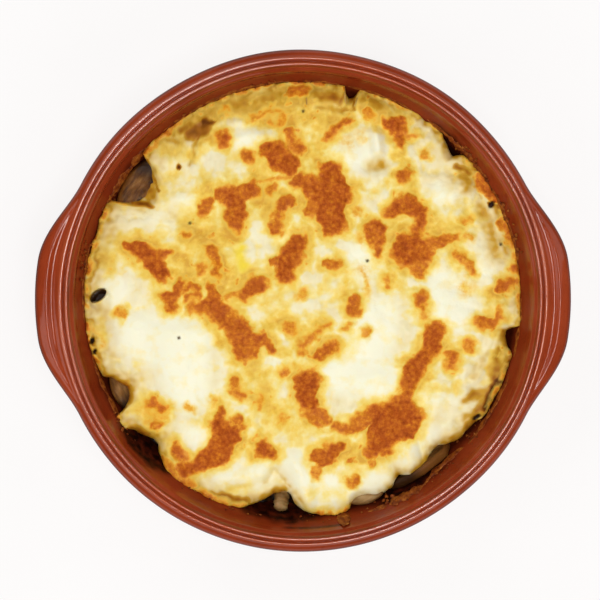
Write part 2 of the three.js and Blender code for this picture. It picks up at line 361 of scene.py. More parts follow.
def makeDish(material):
    # The outline is carried round the axis: a point moves out by its share of the ear and up by its lift.
    # Slow noise round the rim gives the wobble of a thrown pot, a little different on each ridge, and the rim
    # lies off centre by the cosine of the direction. Rows are close together on the rim.
    outline = smoothCurve(dish["outside"] + [(*point, 0, 0) for point in dish["inside"]], 24)
    onRim = ease(outline[:, 1], 33, 36)
    step = np.hypot(*np.diff(outline[:, :2], axis=0).T)
    wanted = dish["wallStep"] + (dish["rimStep"] - dish["wallStep"]) * 0.5 * (onRim[1:] + onRim[:-1])
    effort = np.concatenate([[0], np.cumsum(step / wanted)])
    rows, columns = int(effort[-1]), dish["columns"]
    even = np.linspace(0, effort[-1], rows)
    radius, height, share, lift = (np.interp(even, effort, values)[:, None] for values in outline.T)
    angle = fullTurn(columns)[None, :]
    fromAxis = np.degrees(np.arcsin(np.abs(np.sin(angle))))
    ear = 1 - ease(fromAxis, dish["earFull"], dish["earRoot"])
    aroundX, aroundY = 40 * np.cos(angle), 40 * np.sin(angle)
    high = ease(height, 20, 38)
    # Crests: the glaze runs thin there, and their paler colour is also a painted highlight along them
    thinGlazeAndHighlight = sum(ease(np.abs(radius - crest), 0.5, 0.1) for crest in dish["crests"]) * ease(height, 40.7, 41.3)
    # Grooves: a mask for painted shade in them
    thick = sum(ease(np.abs(radius - dip), 0.32, 0.05) for dip in dish["crevices"]) * ease(height, 40.2, 40.8)
    leaning = dish["leanOut"] + (dish["leanIn"] - dish["leanOut"]) * ease(radius, 79, 75.5)
    leaning = leaning * ease(height, 33, 40) * np.cos(angle - np.radians(dish["leanTurn"]))
    wobble = dish["wobble"] * high * noise(aroundX, aroundY, 22, 11)
    ridge = dish["ridgeWobble"] * ease(height, 40, 41.3) * noise(aroundX + radius * 4, aroundY, 7, 12)
    radius = radius + share * dish["earReach"] * ear + wobble + ridge + leaning
    height = height + lift * ear + dish["heightWobble"] * high * noise(aroundX, aroundY, 30, 13)
    points = np.vstack([aroundAxis(radius, angle, height), [(0, 0, 0), (0, 0, height[-1, -1])]])
    x, y, z = points.T
    reach = np.hypot(x, y)
    thinGlazeAndHighlight, thick = (np.append(np.repeat(glaze, columns), [0, 0]) for glaze in (thinGlazeAndHighlight, thick))
    # Painted shade on the outer shoulder under the lip, with less gloss there; the grooves add theirs at 0.4
    paintedRimShade = ease(z, 40.2, 38.6) * ease(z, 34.5, 36.5) * ease(reach, 76, 77.5)
    uv = np.stack([np.tile(angle[0] * 75, rows), np.repeat(even * dish["rimStep"], columns)], axis=1)
    # film: darker and less glossy low on the inner wall towards the food; the darkening is painted shade
    attributes = {
        "stain": wallStain(x, y, z), "film": onInnerWall(reach, z) * ease(reach, 74, 72) * ease(z, 5, 8),
        "paintedRimShade": np.maximum(paintedRimShade, 0.4 * thick), "thinGlazeAndHighlight": thinGlazeAndHighlight}
    makePiece("thrownDish", points, closedRings(rows, columns, flipped=True), material,
              ("dish",), attributes, np.vstack([uv, np.zeros((2, 2))]))


def glazedTerracotta():
    # Glazed terracotta, thrown, dipped and fired: the clear lead-free glaze gives a hard gloss, and the
    # red clay under it shows in clouds. The rim's crests are paler, partly where the glaze runs thin and
    # partly as painted highlight. The lower inner wall, the outer shoulder and the grooves get painted
    # shade.
    material, shader, add, place = newMaterial("glazedTerracotta", {"IOR": 1.5}, (1.6, 3, 0.02))
    clouds, flecks, patches, haze = (
        add("TexNoise", {"Vector": place, "Scale": 1 / (size * mm), "Detail": detail})
        for size, detail in ((18, 4), (1.1, 2), (2.5, 4), (7, 3)))
    thinGlazeAndHighlight, stain, film, paintedRimShade = (
        add("Attribute", attribute_name=name, output="Fac") for name in ("thinGlazeAndHighlight", "stain", "film", "paintedRimShade"))
    throwing = add("Mapping", {"Vector": add("UVMap"), "Scale": (0.02, 1, 1)})
    rings = add("TexNoise", {"Vector": throwing, "Scale": 0.7, "Detail": 3})
    clay = add("Mix", {0: 0.7, 2: rings, 3: clouds})
    base = add("ValToRGB", {0: clay}, stops=((0.35, "#842f12"), (0.5, "#8f3517"), (0.65, "#9b3e1f")))
    fleck = add("ValToRGB", {0: flecks}, stops=((0.34, "#c9c9c9"), (0.42, "#ffffff")))
    base = add("Mix", {0: 0.25, 6: base, 7: fleck}, blend_type="MULTIPLY", **blend)
    uneven = add("ValToRGB", {0: patches}, stops=((0.3, "#d4d4d4"), (0.6, "#ffffff")))
    patchy = add("Math", {0: stain, 1: uneven}, operation="MULTIPLY")
    # Mixed over the base: paler crests (thin glaze and painted highlight), painted shade low on the inner
    # wall, the baked-on stain, and painted shade under the lip and in the grooves
    for share, amount, code in ((thinGlazeAndHighlight, 0.55, "#b9592f"), (film, 0.22, "#3a1004"), (patchy, 1, "#1c0804"),
                                (paintedRimShade, 0.75, "#2a0c05")):
        cover = add("Math", {0: share, 1: amount}, operation="MULTIPLY")
        base = add("Mix", {0: cover, 6: base, 7: code}, **blend)
    dull = add("Math", {0: film, 1: paintedRimShade}, operation="MAXIMUM")
    gloss = add("Math", {0: thinGlazeAndHighlight, 1: 0.6, 2: 0.3}, operation="MULTIPLY_ADD")
    rough = add("ValToRGB", {0: haze}, stops=((0.3, "#3c3c3c"), (0.7, "#4a4a4a")))
    setSockets(shader, {
        "Base Color": base,
        "Specular IOR Level": add("Math", {0: dull, 1: -0.24, 2: gloss}, operation="MULTIPLY_ADD"),
        "Roughness": add("Math", {0: patchy, 1: 0.25, 2: rough}, operation="MULTIPLY_ADD")})
    return material


# ---- the cheese

browned = [
    # peak of browning, then a trail
    (1, -11, 47.8, 3, -7.5, 46, 4.2, -4, 43, 3), (0.95, -26.5, 34, 2, -21.5, 32.5, 4.6, -16, 36, 2.4),
    (0.95, -21.5, 32, 4.6, -21, 24.5, 2.6), (0.9, -26, 52, 2.1, -25.7, 50.5, 1.7),
    (0.85, -17.4, 45.4, 2.4), (0.85, -29.6, 31.5, 1.6, -31.3, 28.5, 2.3), (0.75, -10.1, 34.8, 1.7),
    (0.6, -14.5, 37, 1, -9.5, 38.5, 0.8, -4, 39.5, 0.8),
    (0.85, -4.5, 32, 2.3, -7.5, 29.5, 1.6, -8.2, 26, 2.2, -8.4, 22.5, 2.3),
    (0.62, -9.5, 60, 0.8, -6.5, 59.5, 0.8, -6, 56.5, 0.9, -8.5, 55.5, 0.9, -10, 57.5, 0.8),
    (0.62, -17, 58, 1, -13.5, 60, 1, -10.5, 60.3, 0.9), (0.75, -5, 53.5, 1.5, -3, 51, 1.9, -1, 48.5, 2.1),
    (0.55, -25, 61, 1.3), (0.72, -4, 66, 1.6, -0.5, 67, 2.4), (0.8, -37.4, 20.7, 1.2, -35.5, 20.9, 1.1),
    (1, -56.5, 18, 1.4, -53, 16.3, 2.8, -47.8, 12.8, 4, -45, 7.8, 2.4),
    (0.9, -47.8, 12.8, 3, -42.5, 14.4, 1.4), (0.85, -29.4, 16, 2, -27.5, 12.5, 1.4, -27, 8.5, 1.4),
    (0.68, -32.2, 10, 2.1), (1, -1.2, 18.8, 2.6, -4, 13.7, 3.8, -5.5, 8.5, 3),
    (0.85, -5, 11.8, 3, -9.5, 11.8, 1.3), (0.9, -14.5, 4.8, 3.7, -19, 1.5, 1.7),
    (0.95, -42.8, 1.4, 2.3, -42.3, -2.4, 1.8),
    (0.82, -37.5, 3, 1.2, -36, 4.8, 1.1, -33.8, 3.5, 1.2, -34, 0.8, 1.2, -36.5, 0.3, 1.2),
    (0.85, -39.2, 5, 1.7, -40.5, 2.5, 1.4),
    (0.9, -36, -3.3, 1.2, -29, -1.5, 3, -27, -3, 3.6, -21.4, -8.7, 3.6, -18, -14.8, 4.6),
    (0.85, -18, -13.5, 3.5, -13.5, -12, 2.2, -10.1, -15.7, 1.2), (0.95, -29.5, 4.5, 1.1, -28.5, 0.5, 2.2),
    (0.7, -25, 1.2, 1, -19.5, 2.2, 1), (0.8, -3.6, -9, 2.3), (0.62, -58.2, -4.2, 1.9),
    (0.72, -22.2, -27.1, 1.9, -19.3, -30.8, 1.6), (0.6, -5.5, -23.4, 1.7),
    (0.5, -13.5, -31, 1, -13.5, -34.6, 1.2), (0.5, -6.8, -38.4, 1.5),
    (0.78, -48.3, -33, 2.2, -45, -34.7, 1.3), (0.72, -47, -39.7, 1.9), (0.34, -47, -36.5, 4.6),
    (0.52, -36, -34.2, 1.5), (0.5, -28.4, -32, 1.2),
    (1, -26, -35.6, 1.4, -26.7, -39.3, 2.6, -24.2, -43.6, 3.9, -26, -48.2, 3.8, -31.2, -51.5, 2.8),
    (0.95, -31.2, -51.5, 2.8, -36, -53.6, 2.8, -38.6, -55.6, 2.2), (0.75, -20.6, -39.3, 2.5),
    (0.85, -41.2, -47.8, 1.8, -38.5, -50.5, 1.6), (0.95, -12.9, -47.4, 2.8, -9.9, -49.7, 1.8),
    (1, 1.7, -25.7, 3.5, 1.7, -31.4, 3.8), (0.75, 2.2, -35.6, 2.7, 6.8, -38.8, 2.1),
    (0.8, 10, -40.7, 1.3, 14.8, -40.7, 2.1, 18.5, -38.8, 2.3, 24.2, -35.9, 3.2),
    (1, 24.2, -36.5, 3.4, 31.5, -38, 6.9, 26.1, -42, 5.2, 22.5, -48, 2.9),
    (0.9, 26.1, -45, 3.8, 26.3, -48, 2.3), (0.62, 22.8, -52.4, 1.4), (0.6, 15.8, -51.5, 1.3),
    (0.95, 32, -34, 3.2, 33.2, -30.4, 2.3, 34, -26.6, 2.4, 34.6, -22.8, 2.9),
    (1, 34.6, -22.8, 2.9, 39.3, -18.6, 2.7, 41.3, -14.8, 3.3, 42.4, -10.2, 3.3),
    (0.85, 47.4, -17.5, 2, 47.8, -21.4, 1.5), (0.66, 53.7, -14.8, 2.3),
    (0.78, 57.1, -6.9, 2.3, 60.7, -8.4, 1.6, 63.6, -5.8, 1.3, 63.4, -3, 1.2),
    (0.95, 12.4, -46.8, 1.9, 8.9, -48.7, 2.1, 5, -50.6, 2.5), (0.6, 4.4, -56, 1.5, 4.6, -53, 1.2),
    (0.8, 16.2, -58, 2.3), (0.85, 16.2, -0.6, 2.5, 16.4, -3.2, 2.4),
    (0.85, 37.7, 0.6, 1.9, 38, -1.9, 1.7), (0.5, 38.8, -4.8, 1.4), (0.9, 5, -18, 1.8, 9.5, -15.3, 2.2),
    (0.65, 8.2, -7.9, 1.1, 3.1, -11.1, 1.5, -0.1, -14.5, 1.5, 0.2, -17.3, 1.3),
    (0.55, 13.2, -8.7, 1.1, 15, -8.6, 1), (0.62, 20.7, -10.4, 1.4),
    (1, 8.5, 41.6, 3.3, 9.5, 35.5, 5.8, 12.5, 34.5, 3.8),
    (1, 7.5, 34.5, 5.4, 8.8, 28.5, 4.6, 10.3, 25, 4, 8.5, 21.8, 2), (0.95, 6, 35, 4.5, -1.1, 38.1, 2.4),
    (0.8, 5, 31, 3.5, 2.4, 28.2, 2.2), (0.95, 14.3, 58, 1.2, 11.6, 55.5, 1.7, 7.3, 51.8, 1.3),
    (1, 26.3, 56.6, 1.7, 30.5, 55.5, 2.6, 31.7, 56.6, 1.6), (0.9, 29.9, 55, 2.8, 31, 49.8, 1.6),
    (0.75, 33.5, 52.2, 1, 36, 52.6, 1), (0.88, 31, 39.3, 2.1, 33.5, 40.3, 2.1), (0.52, 39.5, 46.7, 1.6),
    (0.24, 19.4, 54.2, 0.9, 19.4, 51.8, 1), (0.3, 14.6, 50.2, 1.4),
    (0.95, 28.4, 27.8, 2.3, 33.5, 30.9, 2.9, 38.3, 27.6, 2.2, 37.3, 23.8, 1.7, 36, 20, 2.5),
    (1, 34, 15.8, 5.7, 38.8, 15.4, 3.8), (0.78, 39, 17, 2.6, 44.5, 18.6, 1.9, 49, 20.6, 1.1),
    (0.8, 37.3, 9.8, 2.9), (0.9, 23.1, 22.4, 3.2, 24.4, 14.2, 1.4),
    (0.52, 51.4, 25.3, 1.2, 53.6, 25.6, 1.2), (0.45, 52.9, 20.4, 1.3),
    (0.66, 49.8, 14, 1.9, 53, 11.5, 2.2, 53.7, 9, 1.6),
    (0.82, 7.2, 11.3, 1.4, 9.2, 11.8, 2.4, 11.4, 11.3, 1.3), (0.56, 27, 6.8, 1.4, 27.2, 4, 1.2),
    (0.85, 64.5, 4.4, 2.2, 67, 6, 1.4), (0.85, 68.2, 10.5, 1.7), (0.5, -0.4, 1.7, 2.1),
    (0.36, 18.8, 9.2, 0.9, 20, 5.5, 0.9, 20.1, 2.5, 0.9), (0.38, 52.4, 3.5, 1.6), (0.42, 17.5, 28.1, 1.7),
    (0.36, 18.5, 19.5, 1.5), (0.62, 21.3, 59.3, 1.8),
]


def browning(x, y):
    # 0 on bare white cheese to 1 on the darkest crust. Places are first warped by noise, so that the trails
    # get the ragged edges of scorched blisters. Some edges are sharp, others fade over 4 mm.
    warpX = x + 1.3 * noise(x, y, 5.5, 31) + 0.85 * noise(x, y, 2, 32)
    warpY = y + 1.3 * noise(x, y, 5.5, 33) + 0.85 * noise(x, y, 2, 34)
    reach = np.clip(1.5 + 1.5 * noise(x, y, 8, 35), 0.5, 2.8)
    result = np.zeros(np.shape(x))
    nearest = result - 1e3
    for peak, *trail in browned:
        inside = distanceToTrail(warpX, warpY, trail)
        faint = 1 + 5 * max(0.6 - peak, 0)
        result = np.maximum(result, peak * ease(inside, -reach * faint, reach * 0.9))
        nearest = np.maximum(nearest, inside - 4.5 * (1 - peak))
    return result, nearest


tubes = {
    # middle, turn and lift in degrees, width, length
    "pasta_tube_left": ((-62.3, -3.2, 27.2), 125, 35, 7, 13),
    "pasta_tube_top": ((7.6, 63.8, 28.4), 5, 0, 7.6, 13),
    "pasta_tube_top_right": ((22.4, 60.9, 28.4), -21, 0, 7.2, 12),
}
tubeWall = 0.8

cheese = {
    "cells": 288, "underRings": [1, 0.985, 0.94, 0.8, 0.5, 0.2],
    "radius": 70.4, "underside": 27, "crown": 4.4, "thickness": 4,
    "lipWidth": 3.2, "lipDrop": 2.9, "wallDrop": 0.5, "climb": 0.9, "gap": 0.3, "drawnFrom": 0.6,
    "slowBumps": 0.75, "bumps": 0.25, "lumps": 0.45, "crustLift": 0.35, "blisters": 0.16,
    "bandLumps": 0.4, "bandDrop": 0.8, "filmDrop": 2.2, "mouthDepth": 5,
}
cheeseOutline = np.reshape([
    # The sheet's edge, x and y in turn, once round from the right: on the wall, except at the gaps
    69.8, 0, 69.6, 6, 69.2, 11, 67.9, 17, 66.4, 22, 64.6, 27, 62.3, 32.5, 59.5, 37.2, 56, 41.8,
    54.6, 43.6, 52.8, 45.2, 51, 46.3, 49.6, 46.4, 48.2, 46, 47.3, 47.2, 46.3, 49.6, 45.2, 52.2,
    44.6, 54.3, 41, 57.2, 36, 60.6, 31, 63.3, 25, 65.8, 20, 67.8, 18.4, 67.6, 17.4, 66, 16.2, 64.9,
    14.8, 64.9, 13.8, 66.4, 13.6, 68.4, 11, 69, 5, 69.8, 0, 70.3, -5, 70.2, -12, 69.1, -20, 67.2,
    -27, 64.7, -34, 61.4, -40, 57.6, -45.5, 53, -50, 48.6, -51.2, 46.8, -50.6, 45.8, -49.8, 44, -49.6, 42,
    -50, 39.5, -50.6, 36.5, -51, 33.5, -52.5, 31.8, -56, 31.2, -59.3, 31.6, -61.5, 31.9, -63, 30.5,
    -64.8, 26, -66.3, 20.5, -68, 15.5, -69.2, 10, -69.9, 4, -69.8, -3, -69.3, -9, -68.4, -14.5,
    -66.8, -18.5, -65.3, -22, -64, -24.6, -62.8, -25, -61.5, -24.9, -60, -25.8, -58.3, -26.9,
    -56.2, -27.9, -55.8, -30, -56, -32.5, -57, -34.7, -58.5, -36.2, -60.2, -37.9, -59, -39.7, -57, -41.3,
    -55.5, -41.4, -54, -41.8, -52, -43, -49.5, -43.7, -47.5, -44.7, -46.3, -46.5, -46.2, -48.5,
    -45.5, -50.5, -44.8, -52.5, -43.5, -54.5, -42, -56.3, -38.6, -59, -35, -61, -30, -63.6, -25, -65.6,
    -20, -66.8, -17, -65.9, -14.5, -65.1, -12.5, -64.2, -11, -63.2, -9.5, -62.3, -7.5, -61.9, -5.7, -61.3,
    -4.5, -61.7, -3.6, -62.7, -3.2, -64, -2.6, -65.5, -1.3, -66.6, 0.3, -67.6, 2.5, -68.4, 6, -69,
    10.5, -69, 14, -67.8, 15.2, -66.8, 15.8, -65.3, 17, -63.8, 18.8, -62.8, 20.5, -62.6, 23, -63.1,
    25, -62.6, 27, -61.5, 28.5, -60.3, 29.4, -58.9, 30, -57.3, 31, -56.2, 32.5, -56.3, 34.5, -56.5,
    36.3, -55.7, 38, -54.3, 39.5, -52.5, 40.3, -50.5, 41.5, -48.5, 43.5, -46.7, 46, -46.3, 48.5, -45.5,
    51, -44, 52.7, -42, 54.6, -40, 57, -38.4, 59.1, -35.8, 60.7, -33.2, 62.2, -30.4, 63.7, -27.3,
    65.1, -23.9, 66.2, -20.6, 67.1, -17.9, 66.7, -16.7, 65.7, -14.5, 65.1, -12, 65.3, -9.9, 67.2, -9.1,
    69.6, -8.4,
], (-1, 2))
folds = [
    # rise, softness, then a trail: thick rolls of melted cheese, and creases where the rise is below 0
    (0.9, 4, -45, 31, 3, -27, 38, 3), (1.1, 3.5, -62, 24, 2, -54, 25, 2.5, -46, 25.5, 2),
    (-0.6, 1.5, -61, 19.5, 0.5, -54, 22, 0.4), (1, 1.8, -20.5, 51.5, 1.8, -13, 52.5, 2),
    (1.3, 4, -54, -12, 6, -41, -16, 9, -38, -30, 6), (0.8, 1.8, -60, -22.5, 1.6),
    (-1.1, 2, -63.5, -18.3, 0.3, -58, -19.3, 0.5, -55.8, -21.5, 0.5, -55.4, -26, 0.4),
    (0.8, 2, -50, -41, 1.5, -43.5, -43.5, 2), (0.9, 3, -34, -45, 2.5),
    (1.3, 2.8, -27, -57.5, 2.2, -14, -56, 2.5), (0.8, 1.8, -21, -63, 1.2, -12, -61, 1.2),
    (-0.6, 1.5, -24, -61, 0.4, -16, -60, 0.4),
    (-1.1, 2.4, -8.8, -54, 0.4, -11, -57.5, 0.6, -14.5, -60.3, 0.3),
    (-1.2, 2.4, -8.8, -54, 0.4, -6.5, -57.5, 0.6, -4.2, -59.6, 0.6),
    (1.3, 2.6, -3, -51.5, 2, -0.5, -57, 2.6, 1.5, -63.5, 2.4), (0.9, 2.6, 9, -64.5, 1.6, 20, -60, 2.4),
    (-0.7, 1.6, 28.4, -50.5, 0.4, 29.5, -56, 0.5),
    (1.4, 2.4, 33.5, -47, 2.2, 34.5, -51.5, 2.4, 33, -54, 1.5),
    (-0.8, 1.4, 37, -45.5, 0.4, 38.5, -50.5, 0.4),
    (1.2, 2.6, 42.5, -34, 2.6, 40.5, -42, 2.6, 41, -46, 1.5), (0.9, 2.4, 47.5, -41, 1.6),
    (1.1, 1.5, 64, -9, 0.8, 61.6, -13, 0.9, 59.5, -18.5, 1, 56.7, -23.5, 1, 52, -29, 1),
    (-0.9, 1.9, 60.4, -14, 0.3, 58, -19.5, 0.4, 55.3, -24.5, 0.5, 53.5, -27.5, 0.4),
    (0.8, 2.5, 43.5, -29, 2.5), (0.9, 3, 52, -22, 2), (1, 4, 47, -2, 5, 52, -8, 4), (0.9, 4, 22, -27, 6),
    (0.7, 3, 58, 14, 3, 62, 17, 2), (2.1, 1.8, 23.6, 53, 1.5, 24.2, 47.4, 1.8),
    (-1.7, 2.8, 20.8, 41.8, 0.6, 26, 44, 1.1), (0.7, 1.8, 43.5, 50, 1, 45.8, 43.5, 0.9),
    (0.9, 3.5, 45, 35, 4, 50, 36, 3), (-1.1, 1.1, 55.3, 39, 0.3, 56, 35, 0.4, 57.5, 32.6, 0.3),
    (-1.2, 1.5, -33.7, 50.9, 0.5, -36, 43.2, 0.5),
    (-1, 1.1, 16.4, 63.6, 0.3, 17.2, 60.8, 0.4, 13.2, 60.2, 0.3),
]
seenThroughAndShade = [
    # amount, softness, then a trail: where sauce, mushroom or pasta shows through thin cheese, and
    # painted shade in creases, under rolls and along the wall
    (0.64, 1.5, -35.6, 53.3, 2.5, -32, 55, 3.3), (0.88, 1.1, -32, 57.2, 1.2, -29.2, 56.8, 1),
    (0.8, 0.8, -33, 52.6, 0.6, -33.9, 51.3, 0.5), (0.56, 1.8, -38.4, 54.4, 1.8, -35.5, 55.3, 1.8),
    (0.45, 1.5, -41.5, 53.2, 1.5), (0.4, 2, -43, 51, 1.5, -38.5, 49.5, 1.5),
    (0.95, 0.7, -39.8, 42.5, 0.9), (0.46, 1.5, -34.2, 51, 1, -36, 43.2, 0.5),
    (0.52, 1.6, -48.8, 42.5, 0.6, -48, 38, 1.4, -48.6, 33.5, 1.8),
    (0.8, 0.7, -48.1, 40, 0.3, -46.3, 35.2, 0.4), (0.7, 1.2, -58, 31, 0.9, -52, 30.6, 1.2, -48, 30, 0.8),
    (0.16, 6, -50, 26, 3, -42, 38, 5, -37, 46, 3), (0.26, 5, -42, 27, 3, -36, 23, 3),
    (0.1, 2.2, -64, -18.5, 0.5, -58, -19.3, 0.6, -55.8, -22, 0.6, -55.4, -27, 0.5),
    (0.3, 1.8, -8.8, -54, 0.5, -12, -58.5, 0.7),
    (0.38, 1.8, -8.8, -54, 0.4, -6.5, -57.5, 0.6, -4, -59.8, 0.8),
    (0.3, 2.2, 60.4, -14, 0.4, 58, -19.5, 0.5, 55.3, -24.5, 0.6), (0.32, 3, 59, -18, 2, 55, -24, 2.4),
    (0.5, 2.2, 51.5, -32.5, 1.2, 55, -30.6, 2.2, 60.5, -29, 1.8), (0.4, 2.4, 52.5, -38, 2.4),
    (0.52, 2.2, 46.5, -46, 1, 51, -42.5, 1.6, 54.5, -38.8, 2, 57.8, -34, 2.4, 60.4, -30, 2.2, 62.2, -26, 1.6),
    (0.6, 2, 55.5, -36, 1.4, 59, -33, 1.4), (0.55, 2.2, 62.6, -16, 1, 62.4, -21, 2, 61, -25, 2),
    (0.95, 1.5, 66.8, -18.2, 0.5, 65, -23.2, 1.3, 62.6, -27.4, 2.3, 60.6, -31, 1.9, 58.4, -34.8, 1.3),
    (0.5, 1.6, 53, -40.5, 1, 50, -43, 1, 45, -45.5, 0.8), (0.28, 2.5, 40, -47, 1.5),
    (0.2, 4, 30, 52, 3, 40, 50, 3), (0.18, 5, 38, -40, 2, 49, -36, 3),
    (0.5, 3, 21.8, 42.5, 1.4, 25.4, 43.3, 1.7), (0.22, 3, 24, 39.5, 1, 28, 41.5, 1),
    (0.55, 1.3, 55.4, 39, 0.3, 56, 35, 0.5, 57.8, 32.4, 0.3), (0.42, 2.6, 50.5, 40.5, 2, 52.3, 37, 2),
    (0.28, 4, 46.5, 41, 2.4, 49, 38, 3), (0.44, 3.4, 51.5, 39.5, 3.2, 52.8, 36, 2.4),
    (0.68, 1.5, 49.5, 43, 1.1, 53.5, 40.6, 1), (0.4, 4.2, 57, 29.5, 3, 60.6, 22, 3, 62, 14, 3),
    (0.46, 1.8, 33.6, 60.6, 1.2, 35, 58.8, 1), (0.5, 2.4, 19.5, 64.5, 2, 24, 62, 2),
    (0.4, 1.2, 40, 56, 1, 43, 53, 0.6), (0.5, 2.8, 5, 61.6, 1.2, 12.5, 60.4, 1.6, 16.5, 61.8, 1),
    (0.62, 1.5, 12, 63.2, 1.4, 13, 65.4, 1), (0.6, 2.6, 5, 65.5, 1.8, 11, 64.5, 2.6),
    (0.66, 1, 16.6, 63.6, 0.6, 17, 60.8, 0.5, 13.2, 60.2, 0.4),
    (0.54, 1.8, -68, 6, 1.2, -66.4, 12, 1.4, -66, 18, 1), (0.42, 1.8, -67, -8, 1, -66.3, -12, 1.2),
    (0.9, 0.9, 60.6, 30.6, 1), (0.36, 2.4, 67.6, -3, 1, 68.5, -6, 1), (0.35, 2, 62, 21, 2, 66, 14, 1.5),
    (0.4, 2.2, -2.4, -62, 1.2, 1, -66, 1),
    (0.43, 4, -34, 58.5, 2, -20, 62.5, 3.4, -8, 64.5, 3.8, 4, 66, 2),
    (0.64, 1.8, -29, -62, 1, -22, -63.6, 1.2, -17.5, -64.6, 1.2), (0.55, 2, -44, -51, 1, -42, -54.5, 1),
]
goldenTrails = [
    # amount, softness, then a trail: cheese that has turned yellow with fat and heat
    (1.15, 4, -41, 54, 1, -30, 60.5, 2.5, -20, 62, 3.5, -8, 64, 4, 4, 65, 3, 11, 65, 3),
    (0.7, 3.5, -16, 57.5, 2, -4, 58, 4, 8, 58, 3), (1.1, 3, 20.5, 63.5, 2.6, 24.5, 60.5, 3),
    (0.6, 4, -45, 48, 1.5, -38, 47, 3), (0.45, 4, 0, 52, 4), (0.5, 6, -28, 14, 5, -20, 6, 5),
    (0.8, 4, -27, 12, 3, -24, 6, 3), (0.6, 6, -16, -24, 5, -10, -36, 5, -1, -41, 3),
    (0.6, 2.5, 50, 41, 1.5, 53.5, 40, 1.5),
    (1.1, 2.4, 64, -13.5, 0.8, 62.6, -17.5, 2, 61.4, -22, 2.2, 60.6, -25.5, 1.4),
    (0.85, 3, -62.5, 13, 2.8, -61.5, 9.5, 1.8), (0.5, 2.5, -66, -8, 1, -64, -13, 1.5),
    (0.5, 4, -47, -36, 5), (0.7, 2, -56, -36, 1.5, -53, -34, 1.5),
    (0.55, 3, -24, -60, 1.5, -17, -60.3, 1.5), (0.2, 8, -42, 38, 6), (0.45, 5, 12, -50, 4, 25, -51, 2.5),
    (0.55, 3, -19.5, -45, 2, -17, -51, 1.5), (0.5, 3, 61, 2, 2, 60, -3, 2), (0.4, 4, 56, 27, 2),
    (0.4, 4, 42, -29, 3), (0.4, 6, 5, -10, 6, 12, -14, 4), (0.3, 7, 0, 28, 8), (0.4, 6, 46, 24, 6),
    (0.5, 3, 50, 15, 3), (0.5, 2.5, 31, 46, 2), (0.35, 4, -45, 20, 3, -58, 14, 3),
    (0.45, 2.5, 12, -63, 2, 3, -62, 1.5), (0.75, 2, 1.5, -67, 1, 9, -68, 1.4),
    (0.85, 5, -36.5, 27, 2, -35, 20, 3.4, -24, 21, 3), (0.65, 4, -12, 30, 3, -14, 40, 2),
    (0.4, 4, 3, 46, 3, -2, 57, 3), (0.25, 5, 17, 36, 2, 20, 28, 2), (1, 3.5, -38.5, 12.5, 2.4, -37, 8, 2),
    (0.55, 5, -8, -3, 3, -10, -9, 3), (0.5, 4, 30, 22, 2, 42, 22, 2), (0.6, 4, -32, 36, 2, -35, 30, 1),
    (0.45, 4, 26, 8, 3, 31, 4, 2), (0.45, 4, -38, 52, 2), (0.3, 3, 46, -14, 2, 50, -19, 2),
    (0.75, 2.5, -5.5, -18, 2), (0.6, 3, -26, -13, 2, -30, -9, 1.5), (0.8, 3, -30, 52, 2, -33, 49, 1.5),
    (0.4, 2.5, 36, -43, 1, 31, -50, 1.5), (0.4, 3, 50, -28, 2), (0.4, 5, 12, 4, 5),
]
smoothTrails = [
    # softness, then a trail: cheese that has run smooth and stayed white
    (4, -52, -12, 7, -40, -14, 9, -37, -28, 6), (3, -34, -44, 3), (3.5, -41, 29, 3, -30, 30, 2),
    (3, -18, 52, 4), (4, 12, -24, 5, 24, -26, 6, 20, -20, 7, 24, -6, 5), (4, 48, -2, 6, 45, 5, 4),
    (4, -27, -57, 2.5, -13, -56, 3), (4, -2, -53, 4, 2, -64, 4, 24, -58, 4), (4, 34, -48, 4, 42, -36, 5),
    (2.5, 24, 49.5, 2.6), (3, 45, 34, 3), (3, 58, 10, 2.5), (3, -6, 20, 2), (4, 20, 12, 5),
    (3, -60, 3, 4), (3, 20, 45, 4, 12, 47, 3),
]
bakedTrails = [
    # amount, then a trail: cheese baked brown where it meets the wall
    (1.1, 56.8, 39.4, 1.6, 58.3, 36.6, 2.7, 61.2, 33.3, 1.5), (0.9, 63.8, 25, 1.2, 66.6, 18, 0.8),
    (0.6, 64.6, -24, 1), (0.75, -45, -51, 0.8, -41, -56, 1.6, -36, -59.5, 1.6),
    (0.65, -33, -61.5, 1.3, -26, -65, 1, -19, -66.4, 0.8),
    (0.7, -50.3, 46.8, 1, -46, 51.5, 1, -40, 57, 1), (0.65, -69, 8, 0.8, -68, 14, 1, -66.5, 18.5, 0.8),
    (0.4, -67.6, -8, 0.8, -64.5, -12, 1, -64, -15, 0.8), (0.8, 3, -69.3, 1, 10, -69.6, 1),
    (0.6, -61.5, 31.5, 0.8, -57, 30.6, 0.6), (0.6, 28, 64.2, 1, 37, 60, 0.8),
    (0.75, 69.5, -2, 0.5, 69.6, 10, 0.8),
]
pits = [
    # x, y, half length, half width, turn in degrees, depth: holes through to what lies under the cheese
    (-67.4, -13.2, 1.2, 0.8, 70, 2), (-66.6, -16.6, 0.9, 0.6, 80, 1.6),
    (55.8, -37.6, 1.6, 0.8, 35, 1.6), (54.6, -41.2, 0.9, 0.6, 20, 1), (60.6, 30.5, 1.3, 0.9, 60, 1.6),
]
specks = [(-39.5, -12.2), (-36, 24.5), (20.7, 12.4), (0.2, 60.4), (63.4, 17.7)]


def domeHeight(radius):
    # The food stands highest in the middle and falls off by the square of the radius
    return cheese["underside"] + cheese["crown"] * (1 - (radius / 70) ** 2)


def cheeseEdge(angle):
    # Radius of the cheese's edge, read off the outline by direction, and how far it has left the wall there
    x, y = cheeseOutline.T
    edge = np.interp(angle, np.arctan2(y, x), np.hypot(x, y), period=2 * np.pi)
    aroundX, aroundY = 40 * np.cos(angle), 40 * np.sin(angle)
    edge = edge + 0.28 * noise(aroundX, aroundY, 2.2, 41) + 0.16 * noise(aroundX, aroundY, 0.9, 42)
    return edge, cheese["radius"] - edge


